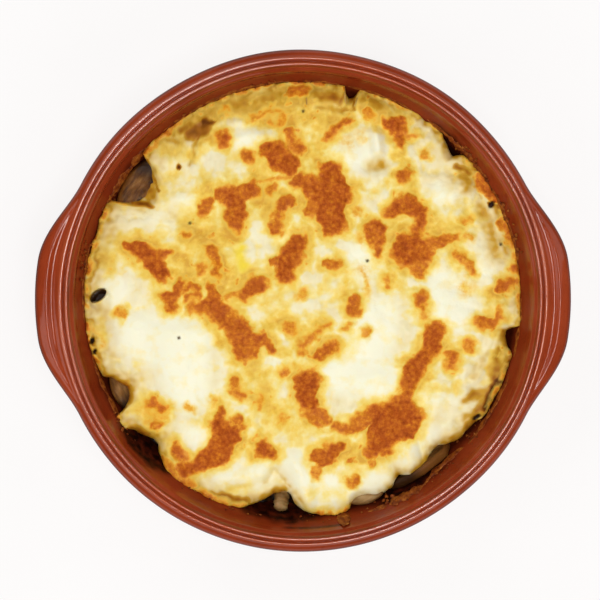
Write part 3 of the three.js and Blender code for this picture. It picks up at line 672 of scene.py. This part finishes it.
def tubeSkin(x, y, height):
    # The cheese over a tube follows it: upright over a point, the tube's side lies at the axis height there
    # plus the root of radius squared less offset squared. A lifted tube is cut off by the slanting plane of
    # its open end. Gives the height, and where one looks down the open end.
    mouth = np.zeros(np.shape(x))
    for (middleX, middleY, middleZ), turn, lift, width, length in tubes.values():
        drop, before, after, soft = (9, 0.5, 0.6, 0.5) if lift else (4, 1.5, 2.5, 1.5)
        lean = np.radians(max(lift, 1))
        along, across = turned(x - middleX, y - middleY, -turn)
        half, outer = length / 2, width / 2 + 0.35
        skin = along * np.tan(lean) + np.sqrt(np.clip(outer ** 2 - across ** 2, 0.01, None)) / np.cos(lean)
        skin = skin - drop * ease(np.abs(across), outer - before, outer + after)
        if lift:
            end = (half + 0.3 - along * np.cos(lean)) / np.sin(lean)
            skin = np.minimum(skin, end) - 12 * ease(-along, half - 1, half + 1)
            slant = end * np.cos(lean) - along * np.sin(lean)
            mouth = np.maximum(mouth, ease(np.hypot(slant, across) / (width / 2 - tubeWall), 1.2, 0.9))
        else:
            skin = skin - 0.6 - 8 * ease(np.abs(along), half - 1, half + 3)
        height = height + soft * np.logaddexp(0, (middleZ + skin - height) / soft)
    return height, mouth


def pitShare(x, y):
    # 1 in the middle of a pit and 0 outside its ellipse, and the depth there
    share = depth = np.zeros(np.shape(x))
    for middleX, middleY, halfLength, halfWidth, turn, pitDepth in pits:
        along, across = turned(x - middleX, y - middleY, -turn)
        inside = ease(np.hypot(along / halfLength, across / halfWidth), 1.15, 0.75)
        share = np.maximum(share, inside)
        depth = np.maximum(depth, inside * pitDepth)
    return share, depth


def cheeseTop(x, y, toast, lumps):
    # Height of the cheese: dome, thickness, rolls and creases, slow noise, lumps of melted shreds, and
    # blisters where it is browned. The top band is lumpier and thinner, and a film hangs in one gap.
    radius = np.hypot(x, y)
    height = domeHeight(radius) + cheese["thickness"] + sum(overTrails(x, y, folds))
    height = height + cheese["slowBumps"] * noise(x, y, 11, 51) + cheese["bumps"] * noise(x, y, 5, 52)
    bubbles = noise(x, y, 1.5, 54) + 0.6 * noise(x, y, 0.9, 55)
    height = height + cheese["crustLift"] * ease(toast, 0.3, 0.8) + cheese["lumps"] * lumps
    height = height + cheese["blisters"] * ease(toast, 0.35, 0.8) * bubbles
    band = cheese["bandLumps"] * layeredNoise(x, y, 3.2, 56) - cheese["bandDrop"]
    film = ease(distanceToTrail(x, y, (-49.5, 42, 1, -48.5, 37, 1.5, -49.5, 33, 1.5)), -2, 1)
    height = height + ease(radius, 55, 62) * ease(y, 45, 55) * band - cheese["filmDrop"] * film
    return tubeSkin(x, y, height)


def cheeseTints(x, y, edge, back, toast, nearest, smooth, lumps):
    # Six shares that colour the cheese. The share of what shows through thin cheese also carries painted
    # shade.
    fromEdge = edge - np.hypot(x, y)
    warpX = x + 1.3 * noise(x, y, 4, 67) + 0.6 * noise(x, y, 1.6, 68)
    warpY = y + 1.3 * noise(x, y, 4, 69) + 0.6 * noise(x, y, 1.6, 70)
    yellow = np.max(overTrails(warpX, warpY, goldenTrails), axis=0)
    # Golden round the browned patches and in clouds, and yellower in the hollows between lumps: the last is
    # painted shade
    yellow = yellow + 0.62 * ease(nearest, -4.2, -0.3) + 0.14 * noise(x, y, 7, 61) - 0.3 * lumps
    yellow = yellow * (1 - 0.45 * smooth)
    bright = ease(distanceToTrail(warpX, warpY, (-19.8, 17, 1.4, -19.2, 11.2, 1.8)), -1.8, 1.2)
    # What shows through: a faint tint off the smooth white; darker towards the edge, partly thinner oily
    # cheese and partly painted shade of the wall and the lip; and the trails, of sauce, mushroom and pasta
    # under thin cheese and of painted shade in creases and under rolls
    showsUnderAndShade = (0.12 + 0.07 * noise(x, y, 6, 60)) * (1 - smooth)
    showsUnderAndShade = showsUnderAndShade + 0.1 * ease(fromEdge, 12, 2) * (1 - 0.6 * smooth)
    showsUnderAndShade = showsUnderAndShade + 0.06 * ease(fromEdge, 14, 3) * ease(x, 10, -30)
    showsUnderAndShade = showsUnderAndShade + 0.3 * ease(fromEdge, 3.6, 0.2) * ease(layeredNoise(x, y, 5, 66), -0.9, 0.5)
    sheerAndShade = np.max(overTrails((x + warpX) / 2, (y + warpY) / 2, seenThroughAndShade), axis=0)
    showsUnderAndShade = np.maximum(showsUnderAndShade, sheerAndShade) * (1 + 0.3 * noise(x, y, 2.2, 65))
    freckles = ease(noise(x, y, 2.8, 63) + 0.4 * noise(x, y, 1.2, 64), 0.15, 0.8)
    toast = np.maximum(toast, 0.52 * freckles * ease(yellow, 0.3, 0.65) * ease(showsUnderAndShade, 0.55, 0.3))
    crust = ease(fromEdge, 2.6, 0.2) * ease(layeredNoise(x, y, 4, 62), -0.5, 0.6) * ease(back, 2.4, 0.8)
    for amount, *trail in bakedTrails:
        crust = np.maximum(crust, amount * ease(distanceToTrail(warpX, warpY, trail), -1.4, 1))
    speck = np.max([ease(np.hypot(x - speckX, y - speckY), 0.75, 0.3) for speckX, speckY in specks], axis=0)
    return {"toast": toast, "yellow": yellow, "crust": crust,
            "showsUnderAndShade": showsUnderAndShade, "bright": bright, "speck": speck}


def makeCheese(material):
    # A square grid is mapped on the disc ring by ring (each square ring becomes a circle), its rim rolls over
    # by a quarter ellipse, and rings close it underneath.
    side = np.linspace(-1, 1, cheese["cells"] + 1)
    a, b = np.meshgrid(side, side, indexing="xy")
    ring = np.maximum(np.abs(a), np.abs(b))
    eighth = np.pi / 4 / np.maximum(ring, 1e-9)
    sideways = np.where(a >= 0, b * eighth, np.pi - b * eighth)
    turn = np.where(np.abs(a) >= np.abs(b), sideways, np.sign(b) * (np.pi / 2 - a * eighth))
    angle, share = turn.ravel(), ring.ravel()
    edge, back = cheeseEdge(angle)
    drawn = np.clip((share - cheese["drawnFrom"]) / (1 - cheese["drawnFrom"]), 0, 1)
    radius = share * cheese["radius"] - back * drawn
    x, y = radius * np.cos(angle), radius * np.sin(angle)
    toast, nearest = browning(x, y)
    smooth = np.max([ease(distanceToTrail(x, y, trail), -softness, softness / 2)
                     for softness, *trail in smoothTrails], axis=0)
    lumps = noise(x, y, 4.2, 57) + 0.55 * noise(x, y, 2.1, 58) + 0.25 * noise(x, y, 1.1, 59)
    lumps = (1 - 0.85 * smooth) * lumps
    height, mouth = cheeseTop(x, y, toast, lumps)
    pitSauceAndShade, depth = pitShare(x, y)
    height = height - depth - cheese["mouthDepth"] * mouth
    fromEdge = np.clip((edge - radius) / cheese["lipWidth"], 0, 1)
    drop = cheese["wallDrop"] + (cheese["lipDrop"] - cheese["wallDrop"]) * ease(back, 0.3, 3)
    height = height - drop * (1 - np.sqrt(1 - (1 - fromEdge) ** 2))
    ragged = np.clip(0.55 + 0.8 * noise(x, y, 1.9, 43) + 0.5 * noise(x, y, 5, 44), 0, 1.4)
    height = height + cheese["climb"] * ragged * ease(back, 1.6, 0.5) * ease(edge - radius, 1.7, 0.1)
    squeeze = np.minimum(1, (wallRadius(height) + 0.15) / np.maximum(radius, 1))
    points = [joined(x * squeeze, y * squeeze, height)]

    index = np.arange(ring.size).reshape(ring.shape)
    border = np.concatenate([index[0, :-1], index[:-1, -1], index[-1, :0:-1], index[:0:-1, 0]])
    faces = [gridQuads(*ring.shape, aroundColumns=False)]
    upper = border
    for step, level in enumerate(cheese["underRings"]):
        ringRadius = edge[border] * level * squeeze[border]
        under = domeHeight(ringRadius) + cheese["gap"]
        lip = height[border] - (0.3 if step else 0.7)
        ringHeight = (lip, np.minimum(under, lip), under)[min(step, 2)]
        points.append(aroundAxis(ringRadius, angle[border], ringHeight))
        lower = np.arange(len(border)) + ring.size + step * len(border)
        faces.append(np.stack([upper, lower, np.roll(lower, -1), np.roll(upper, -1)], axis=1))
        upper = lower
    points = np.vstack([*points, (0, 0, domeHeight(0) + cheese["gap"])])
    faces.append(fan(upper[::-1], len(points) - 1))
    below = np.zeros(len(points) - ring.size)
    tints = cheeseTints(x, y, edge, back, toast, nearest, smooth, lumps)
    tints = {name: np.append(values, below) for name, values in tints.items()}
    # Dark: sauce in the pits, and painted shade down the tube's open end and all over the underside
    tints["pitSauceAndShade"] = np.append(np.maximum(pitSauceAndShade, mouth), below + 1)
    makePiece("meltedCheese", points, faces, material, ("cheese_topping",), tints)


def meltedCheese():
    # Melted mozzarella under a hot grill: milk fat makes it near white and a little translucent, with a soft
    # oily sheen. Browned milk sugar is golden, then orange, then a dark rusty brown with blisters.
    material, shader, add, place = newMaterial("grilledMozzarella", {
        "Roughness": 0.4, "Subsurface Weight": 0.2, "Subsurface Radius": (1, 0.75, 0.4),
        "Subsurface Scale": 1.5 * mm})
    fine, broad = (
        add("TexNoise", {"Vector": place, "Scale": 1 / (size * mm), "Detail": 3, "Roughness": roughness})
        for size, roughness in ((1.1, 0.6), (3.5, 0.5)))
    cells = add("TexVoronoi", {"Vector": place, "Scale": 1 / (1.8 * mm), "Smoothness": 0.6},
                feature="SMOOTH_F1")
    toast, yellow, crust, showsUnderAndShade, bright, pitSauceAndShade, speck = (
        add("Attribute", attribute_name=name, output="Fac")
        for name in ("toast", "yellow", "crust", "showsUnderAndShade", "bright", "pitSauceAndShade", "speck"))
    # Golden cheese: the yellow share, moved by both noises less their mean
    cloudy = add("Math", {0: broad, 1: 0.5, 2: -0.25}, operation="MULTIPLY_ADD")
    speckled = add("Math", {0: fine, 1: 0.8, 2: -0.4}, operation="MULTIPLY_ADD")
    gold = add("Math", {0: yellow, 1: cloudy}, operation="ADD")
    gold = add("Math", {0: speckled, 1: yellow, 2: gold}, operation="MULTIPLY_ADD")
    base = add("ValToRGB", {0: gold}, stops=(
        (0, "#eeeace"), (0.25, "#f0dc88"), (0.5, "#ebc44e"), (0.75, "#dea831"), (1, "#cf8f22")))
    # Sauce, mushroom and pasta under thin cheese; the same colours serve as painted shade in creases, under
    # rolls and along the wall
    under = add("ValToRGB", {0: showsUnderAndShade}, stops=(
        (0.2, "#dcbc58"), (0.4, "#c49428"), (0.6, "#a26412"), (0.8, "#74400c"), (1, "#4a2408")))
    sheerAndShade = add("ValToRGB", {0: showsUnderAndShade}, stops=((0, "#000000"), (0.38, "#ffffff")))
    base = add("Mix", {0: sheerAndShade, 6: base, 7: under}, **blend)
    # Browned cheese: its level is mottled by the cells and both noises
    hard = add("Math", {0: crust, 1: 0.85}, operation="MULTIPLY")
    edged = add("Math", {0: toast, 1: hard}, operation="MAXIMUM")
    mottle = add("Math", {0: cells, 1: 0.3, 2: -0.545}, operation="MULTIPLY_ADD")
    mottle = add("Math", {0: fine, 1: 0.85, 2: mottle}, operation="MULTIPLY_ADD")
    mottle = add("Math", {0: mottle, 1: cloudy}, operation="ADD")
    reach = add("Math", {0: edged, 1: 0.9}, operation="POWER")
    level = add("Math", {0: edged, 1: 0.72}, operation="MULTIPLY")
    level = add("Math", {0: mottle, 1: reach, 2: level}, operation="MULTIPLY_ADD")
    burnt = add("ValToRGB", {0: level}, stops=(
        (0.06, "#ecd265"), (0.2, "#e8bc47"), (0.36, "#df9a2b"), (0.52, "#cc781e"), (0.68, "#b9601c"),
        (0.84, "#a64d16"), (1, "#8f3d12")))
    cover = add("ValToRGB", {0: level}, stops=((0.02, "#000000"), (0.3, "#ffffff")))
    # The dark brown over pits is the sauce below; in the tube's mouth and on the underside it is painted
    # shade
    for share, over in ((cover, burnt), (bright, "#ecd03e"), (pitSauceAndShade, "#2a1208"), (speck, "#544019")):
        base = add("Mix", {0: share, 6: base, 7: over}, **blend)
    golden = add("Math", {0: yellow, 1: 0.7}, operation="MULTIPLY")
    browner = add("Math", {0: edged, 1: showsUnderAndShade}, operation="MAXIMUM")
    browner = add("Math", {0: browner, 1: golden}, operation="MAXIMUM")
    gloss = add("Math", {0: browner, 1: -0.22, 2: 0.25}, operation="MULTIPLY_ADD", use_clamp=True)
    cells = add("Math", {0: 1, 1: cells}, operation="SUBTRACT")
    blister = add("Math", {0: cells, 1: toast}, operation="MULTIPLY")
    normal = None
    for height, depth in ((blister, 0.45), (fine, 0.06), (broad, 0.25)):
        normal = add("Bump", {"Height": height, "Strength": 1, "Distance": depth * mm, "Normal": normal})
    setSockets(shader, {"Base Color": base, "Specular IOR Level": gloss, "Normal": normal})
    return material


# ---- what lies under the cheese

filling = {
    "columns": 360,
    "floor": [(43.6, 7.4), (52.6, 9.6), (60.6, 15.9), (65, 22)],  # radius and height along the floor and wall
    "rings": [*np.arange(70.5, 60, -1), 59, 57.5, 56, 54, 50, 42, 32, 20, 8],
    "leastSunk": 0.8, "sunkShare": 0.55, "mostSunk": 5.5, "lumps": 0.9, "smallLumps": 0.4, "gap": 0.6,
}


def fillingTop(x, y):
    # The filling lies just under the cheese and sinks where the cheese has drawn back, with lumps of pasta
    radius = np.hypot(x, y)
    edge, back = cheeseEdge(np.arctan2(y, x))
    sunk = np.minimum(filling["leastSunk"] + filling["sunkShare"] * np.maximum(back, 0), filling["mostSunk"])
    lumps = filling["lumps"] * noise(x, y, 4.5, 71) + filling["smallLumps"] * noise(x, y, 1.7, 72)
    lumps = lumps * ease(radius, 50, 58) - filling["gap"]
    return domeHeight(radius) - sunk * ease(radius, edge - 7, edge - 1) + lumps


def makeFilling(material):
    # Rings from the floor up along the wall, then in over the top, as rows of one grid round the axis
    angle = fullTurn(filling["columns"])
    rows = [aroundAxis(radius, angle, height) for radius, height in filling["floor"]]
    for ring in filling["rings"]:
        height = fillingTop(ring * np.cos(angle), ring * np.sin(angle))
        rows.append(aroundAxis(np.minimum(ring, wallRadius(height) + 0.1), angle, height))
    points = np.vstack(rows + [[(0, 0, filling["floor"][0][1]), (0, 0, fillingTop(0.0, 0.0))]])
    makePiece("pastaInSauce", points, closedRings(len(rows), len(angle)), material,
              ("pasta_filling",))


def mushroomSauce():
    # Dark mushroom gravy that has boiled up at the wall: nearly black to brown in clouds of noise, with
    # the wet shine of fat
    material, shader, add, place = newMaterial(
        "darkMushroomGravy", {"Roughness": 0.3, "Specular IOR Level": 0.3}, (1.3, 3, 0.5))
    cloud = add("TexNoise", {"Vector": place, "Scale": 1 / (2.2 * mm), "Detail": 4})
    stops = (0.32, "#0c0503"), (0.52, "#1d0d06"), (0.72, "#452811")
    setSockets(shader, {"Base Color": add("ValToRGB", {0: cloud}, stops=stops)})
    return material


slices = {
    # direction, radius and height of the middle, tilt; cap width and height, stem width and length, and
    # thickness; pale share, which end is soaked dark, and where that starts as a share of the cap's width
    "mushroom_slice_left": (145, 61, 28, 6, 22, 7.8, 5.5, 5, 3.2, 0, 1, 0),
    "mushroom_slice_top_left": (121, 60.5, 28.7, -4, 15, 5.5, 5, 3, 2.4, 0, 1, 0.18),
    "mushroom_slice_lower_left": (207, 61.5, 27.9, -3, 16, 6.6, 5, 4, 3, 0.1, -1, 0),
    "mushroom_slice_bottom_right": (288, 62.6, 28, 10, 14, 6.2, 4.5, 3, 2.8, 0.65, 1, 0.5),
    "mushroom_slice_on_edge": (305, 64.4, 24.6, 66, 24, 6.8, 6, 3, 3.2, 0.15, 1, -0.08),
}
stemEnd = {"direction": 264, "radius": 63, "height": 26.4, "tilt": 20, "width": 5, "length": 11, "pale": 0.5}


def placeOnDish(points, direction, radius, height, tilt):
    # Tilts a piece about its width, moves it out along Y, and turns it to its direction round the dish
    x, y, z = points.T
    y, z = turned(y, z, tilt)
    return joined(*turned(x, y + radius, direction - 90), z + height)


def makeSlice(name, material):
    # The outline of a cut cap and stem, one smooth closed curve, shrinks towards its middle in rings while it
    # rises over the slice's rounded edge to its two faces
    direction, radius, height, tilt, capWidth, capHeight, stemWidth, stemLength, thickness = slices[name][:9]
    pale, darkEnd, darkStart = slices[name][9:]
    cap, stem = capWidth / 2, stemWidth / 2
    right = [(stem, -stemLength), (stem, -2.2), (stem + 1, -1.4), (cap * 0.75, -1), (cap, 0.3),
             (cap * 0.93, capHeight * 0.45), (cap * 0.66, capHeight * 0.82)]
    outline = [*right, (0, capHeight), *[(-x, y) for x, y in right[::-1]]]
    curve = smoothCurve(outline + outline[:1], 6)[:-1]
    centre = np.array([0, capHeight * 0.25])
    shrink = np.array([0.15, 0.35, 0.55, 0.75, 0.88, 0.96, 1])
    level = np.array([1, 1, 1, 1, 0.97, 0.82, 0.4]) * thickness / 2
    shrink, level = np.append(shrink, shrink[::-1]), np.append(-level, level[::-1])
    flat = centre + (curve - centre)[None] * shrink[:, None, None]
    crumple = 0.35 * noise(flat[..., 0] + direction, flat[..., 1], 3, direction)
    points = joined(flat[..., 0], flat[..., 1], level[:, None] + crumple)
    points = np.vstack([points, [(*centre, -thickness / 2), (*centre, thickness / 2)]])
    x, y = points.T[:2]
    skin = np.append(np.repeat(ease(shrink, 0.86, 0.97), len(curve)), [0, 0])
    skin = skin * ease(y, -0.4, 0.6) * (1 - pale)
    gills = ease(np.abs(y + 0.2), 1.6, 0.8) * ease(np.abs(x), stem * 0.8, stem * 1.2)
    soaked = 0.85 * ease(x * darkEnd, capWidth * darkStart, capWidth * (darkStart + 0.28))
    shares = {"skin": skin, "gills": gills, "soaked": soaked, "pale": np.full(len(x), pale)}
    makePiece(name.replace("mushroom", "cooked"), placeOnDish(points, direction, radius, height, tilt),
              closedRings(len(level), len(curve)), material, (name,), shares,
              points[:, :2] * mm)


def makeStemEnd(material):
    # A stub turned round its axis: a profile that swells and rounds off at both ends, with bumps of noise
    count = 40
    along = np.linspace(-1, 1, count)[:, None]
    angle = fullTurn(count)[None, :]
    girth = stemEnd["width"] / 2 * (1 - np.abs(along) ** 7) ** 0.5 * (1 - 0.08 * along)
    girth = girth * (1 + 0.09 * noise(along * 6, 3 * np.cos(angle), 1.1, 81) + 0.05 * np.sin(17 * along))
    half = stemEnd["length"] / 2
    points = joined(girth * np.cos(angle), half * along, girth * np.sin(angle))
    points = np.vstack([points, [(0, -half, 0), (0, half, 0)]])
    zero = np.zeros(len(points))
    placed = placeOnDish(points, stemEnd["direction"], stemEnd["radius"], stemEnd["height"], stemEnd["tilt"])
    shares = {"skin": zero, "gills": zero, "soaked": zero, "pale": zero + stemEnd["pale"]}
    makePiece("cooked_stem_end", placed, closedRings(count, count, flipped=True), material,
              ("mushroom_stem_end",), shares, points[:, :2] * mm)


def cookedMushroom():
    # Button mushroom cooked in gravy: wet brown flesh, darker gills in fine lines, a brown skin on the cap
    material, shader, add, _ = newMaterial("braisedMushroom", {
        "Roughness": 0.35, "Specular IOR Level": 0.07, "Subsurface Weight": 0.1, "Subsurface Scale": 1 * mm},
        (1.2, 3, 0.12))
    surface = add("UVMap")
    fibres = add("Mapping", {"Vector": surface, "Scale": (0.3, 1, 1)})
    grain = add("TexNoise", {"Vector": fibres, "Scale": 1 / (2.6 * mm), "Detail": 4})
    flesh = add("ValToRGB", {0: grain}, stops=((0.34, "#351a08"), (0.5, "#6c4216"), (0.68, "#9a6c34")))
    light = add("ValToRGB", {0: grain}, stops=((0.34, "#6a4c24"), (0.5, "#a08050"), (0.68, "#cbb084")))
    lines = add("TexWave", {"Vector": surface, "Scale": 1 / (4.2 * mm), "Distortion": 2, "Detail": 2,
                            "Detail Scale": 2}, 1, bands_direction="X")
    dark = add("ValToRGB", {0: lines}, stops=((0.2, "#1d120c"), (0.8, "#4a3526")))
    for name, over in (("pale", light), ("gills", dark), ("skin", "#6e4218"), ("soaked", "#180b05")):
        share = add("Attribute", attribute_name=name, output="Fac")
        flesh = add("Mix", {0: share, 6: flesh, 7: over}, **blend)
    setSockets(shader, {"Base Color": flesh})
    return material


def makeTube(name, material):
    # A closed profile of a tube's wall, with rounded ends, is carried round an axis along X and then placed
    (middleX, middleY, middleZ), turn, lift, width, length = tubes[name]
    outer, inner, half = width / 2, width / 2 - tubeWall, length / 2
    steps = np.array([-half, 0.3 - half, *np.linspace(1 - half, half - 1, 12), half - 0.3, half])
    rounded = 0.3 * (np.abs(steps) == half)
    along = np.append(steps, steps[::-1])[:, None]
    girth = np.append(outer - rounded, inner + rounded)[:, None]
    angle = fullTurn(48)[None, :]
    girth = girth * (1 + 0.02 * noise(along, 4 * np.cos(angle), 3, 85))
    forward, up = turned(along, girth * np.sin(angle), lift)
    x, y = turned(forward, girth * np.cos(angle), turn)
    # 1 on the bore's inner wall, which the material paints dark brown as painted shade
    inside = np.repeat(ease(girth[:, 0], outer - 0.1, inner + 0.1), 48)
    makePiece(name.replace("pasta", "cooked_pasta"), joined(x + middleX, y + middleY, up + middleZ),
              [gridQuads(len(along), 48, aroundRows=True)[:, ::-1]], material, (name,),
              {"inside": inside})


def cookedPasta():
    # Durum wheat pasta, boiled and baked: pale amber, slightly see-through, with a starchy satin skin.
    # The bore is painted dark brown, as painted shade.
    material, shader, add, place = newMaterial("boiledDurumPasta", {
        "Roughness": 0.4, "Subsurface Weight": 0.2, "Subsurface Scale": 1.5 * mm}, (0.8, 2, 0.08))
    cloud = add("TexNoise", {"Vector": place, "Scale": 1 / (3 * mm), "Detail": 3})
    skin = add("ValToRGB", {0: cloud}, stops=((0.3, "#a97a2c"), (0.7, "#d6ac53")))
    inside = add("Attribute", attribute_name="inside", output="Fac")
    setSockets(shader, {"Base Color": add("Mix", {0: inside, 6: skin, 7: "#2b1507"}, **blend)})
    return material


# ---- what the oven left on the wall

bakedEdge = {"columns": 1440, "around": 16, "width": 1.8, "thickness": 0.42, "height": 31, "sink": 0.5}
bakedStretches = np.array([
    # direction, half width, strength, height on the wall, bulk
    (43, 13, 0.9, 31, 1), (20, 13, 0.8, 31, 1), (75, 18, 0.5, 31, 1), (112, 22, 0.5, 31, 1),
    (144, 10, 1.1, 30, 1.3), (176, 12, 0.6, 31, 1), (205, 13, 0.65, 30, 0.8), (240, 10, 0.4, 30.4, 1),
    (297, 10, 1.3, 32.8, 1.5), (311, 7, 1.4, 29.8, 1.3), (330, 13, 0.7, 31.4, 1), (352, 10, 0.6, 31, 1),
])


def makeBakedEdge(material):
    # A lumpy bead along the line where the food met the wall: an ellipse lying on the wall's slope is carried
    # round the dish, and it sinks into the wall where nothing has stuck
    columns = bakedEdge["columns"]
    angle = fullTurn(columns)[:, None]
    aroundX, aroundY = 70 * np.cos(angle), 70 * np.sin(angle)
    middle, halfWidth, amount, height, thick = bakedStretches.T
    share = ease(degreesApart(np.degrees(angle), middle) / halfWidth, 1.2, 0.3)
    strength = np.max(amount * share, axis=1, keepdims=True)
    none = 1e-6
    total = none + np.sum(share, axis=1, keepdims=True)
    height = (none * bakedEdge["height"] + np.sum(height * share, axis=1, keepdims=True)) / total
    bulk = (none + np.sum(thick * share, axis=1, keepdims=True)) / total
    strength = strength * ease(layeredNoise(aroundX, aroundY, 5, 91), -1.2, 0.1)
    height = height + 0.5 * noise(aroundX, aroundY, 9, 94) + 0.4 * noise(aroundX, aroundY, 3.2, 95)
    width = bakedEdge["width"] * strength * np.clip(1 + 0.7 * noise(aroundX, aroundY, 2.6, 96), 0.3, 2)
    slope = np.arctan2(8, 3.9)  # the wall rises 8 mm over 3.9 mm there
    turn = fullTurn(bakedEdge["around"])[None, :]
    along = width * np.cos(turn)
    lumps = 0.5 * noise(aroundX + along, aroundY + along, 1.4, 97)
    lumps = lumps + 0.4 * noise(aroundX - along, aroundY + along, 0.8, 98)
    out = bakedEdge["thickness"] * bulk * strength * np.sin(turn) * (1 + 0.9 * lumps)
    out = out - bakedEdge["sink"] * (1 - ease(strength, 0.02, 0.25))
    radius = wallRadius(height) + along * np.cos(slope) - out * np.sin(slope)
    points = aroundAxis(radius, angle, height + along * np.sin(slope) + out * np.cos(slope))
    makePiece("bakedOnEdge", points, [gridQuads(columns, bakedEdge["around"], aroundRows=True)], material)


crumbGroups = [
    # direction, radius, spread along and across, how many, size
    (151.5, 69.6, 3, 0.9, 16, 0.75), (214, 70.2, 3, 0.7, 12, 0.6), (248, 69.9, 7, 0.8, 26, 0.5),
    (275, 69.9, 4, 1, 8, 0.6), (292, 69.9, 3, 0.9, 12, 0.8), (303, 70.9, 9, 0.5, 24, 0.5),
    (325, 69.6, 6, 0.8, 20, 0.55), (41, 70.3, 6, 0.8, 30, 0.7), (20, 70.6, 8, 0.6, 18, 0.7),
    (100, 70, 14, 0.4, 30, 0.55), (171, 69.2, 6, 1.2, 40, 0.75),
]


def makeCrumbs(material):
    # Small crisp crumbs: one rough ball of 5 by 8 points, copied as arrays, each with its own size, squash,
    # turn and bumps, and dropped on the wall's slope at its radius
    random = np.random.default_rng(5)
    rise = np.linspace(-0.41, 0.41, 5)[:, None] * np.pi
    ball = np.vstack([aroundAxis(np.cos(rise), fullTurn(8)[None, :], np.sin(rise)), [(0, 0, -1), (0, 0, 1)]])
    places = []
    for direction, radius, along, across, count, size in crumbGroups:
        turn = np.radians(direction) + random.normal(0, along, count) / radius
        out = radius + random.normal(0, across, count)
        places.append((turn, out, size * random.uniform(0.45, 1.25, count)))
    turn, out, size = np.hstack(places)
    count = len(turn)
    bumps = random.uniform(0.7, 1.25, (count, len(ball), 1))
    squash = random.uniform(0.5, 1, (count, 1, 3)) * size[:, None, None]
    lump = ball[None] * bumps * squash
    heading = random.uniform(0, 2 * np.pi, (count, 1))
    x, y = turned(lump[..., 0], lump[..., 1], np.degrees(heading))
    middleX, middleY = out * np.cos(turn), out * np.sin(turn)
    base = np.maximum(wallHeight(out), fillingTop(middleX, middleY)) + 0.2
    points = joined(x + middleX[:, None], y + middleY[:, None], lump[..., 2] + base[:, None])
    offset = np.arange(count)[:, None, None] * len(ball)
    faces = [(group + offset).reshape(-1, group.shape[1]) for group in closedRings(5, 8)]
    makePiece("crispCrumbs", points, faces, material)


drip = {"direction": 280.7, "radius": 71, "halfWidth": 2.2, "halfLength": 2.9, "thickness": 0.9}


def makeDrip(material):
    # A flat drop that ran over the edge on to the wall: half an ellipsoid laid on the slope, closed by a ring
    # and a fan underneath
    rows, columns = 14, 40
    share = np.linspace(0, 1, rows)[:, None]
    turn = fullTurn(columns)[None, :]
    bulge = share * (1 + 0.12 * noise(3 * np.cos(turn), 3 * np.sin(turn), 1.3, 99))
    radius = drip["radius"] + 0.8 * drip["halfLength"] * np.sin(turn) * bulge
    angle = np.radians(drip["direction"]) + drip["halfWidth"] * np.cos(turn) * bulge / radius
    thickness = drip["thickness"] * np.sqrt(1 - share ** 2) - 0.15
    points = aroundAxis(radius, angle, wallHeight(radius) + thickness)
    low = points[-columns:] - np.array([0, 0, 0.5])
    points = np.vstack([points, low, low.mean(0)])
    loop = np.arange(columns)
    makePiece("cheeseDrip", points, [gridQuads(rows + 1, columns)[columns:], fan(loop[::-1] + columns, 0),
                                     fan(loop[::-1] + rows * columns, len(points) - 1)[:, ::-1]],
              material)


def bakedCrust():
    # Cheese baked hard on the wall: brittle, dry and rough, dark brown to amber in clouds of noise
    material, shader, add, place = newMaterial(
        "bakedOnCheese", {"Roughness": 0.5, "Specular IOR Level": 0.15}, (0.7, 3, 0.25))
    cloud = add("TexNoise", {"Vector": place, "Scale": 1 / (1.6 * mm), "Detail": 4, "Roughness": 0.6})
    stops = (0.28, "#421806"), (0.44, "#74320c"), (0.6, "#955016"), (0.8, "#b5762f")
    setSockets(shader, {"Base Color": add("ValToRGB", {0: cloud}, stops=stops)})
    return material


# ---- the scene

makeTable()
makeLights()
makeCamera()
makeDish(glazedTerracotta())
makeCheese(meltedCheese())
makeFilling(mushroomSauce())
mushroomMaterial = cookedMushroom()
for sliceName in slices:
    makeSlice(sliceName, mushroomMaterial)
makeStemEnd(mushroomMaterial)
pastaMaterial = cookedPasta()
for tubeName in tubes:
    makeTube(tubeName, pastaMaterial)
crustMaterial = bakedCrust()
makeBakedEdge(crustMaterial)
makeCrumbs(crustMaterial)
makeDrip(crustMaterial)

bpy.context.view_layer.update()
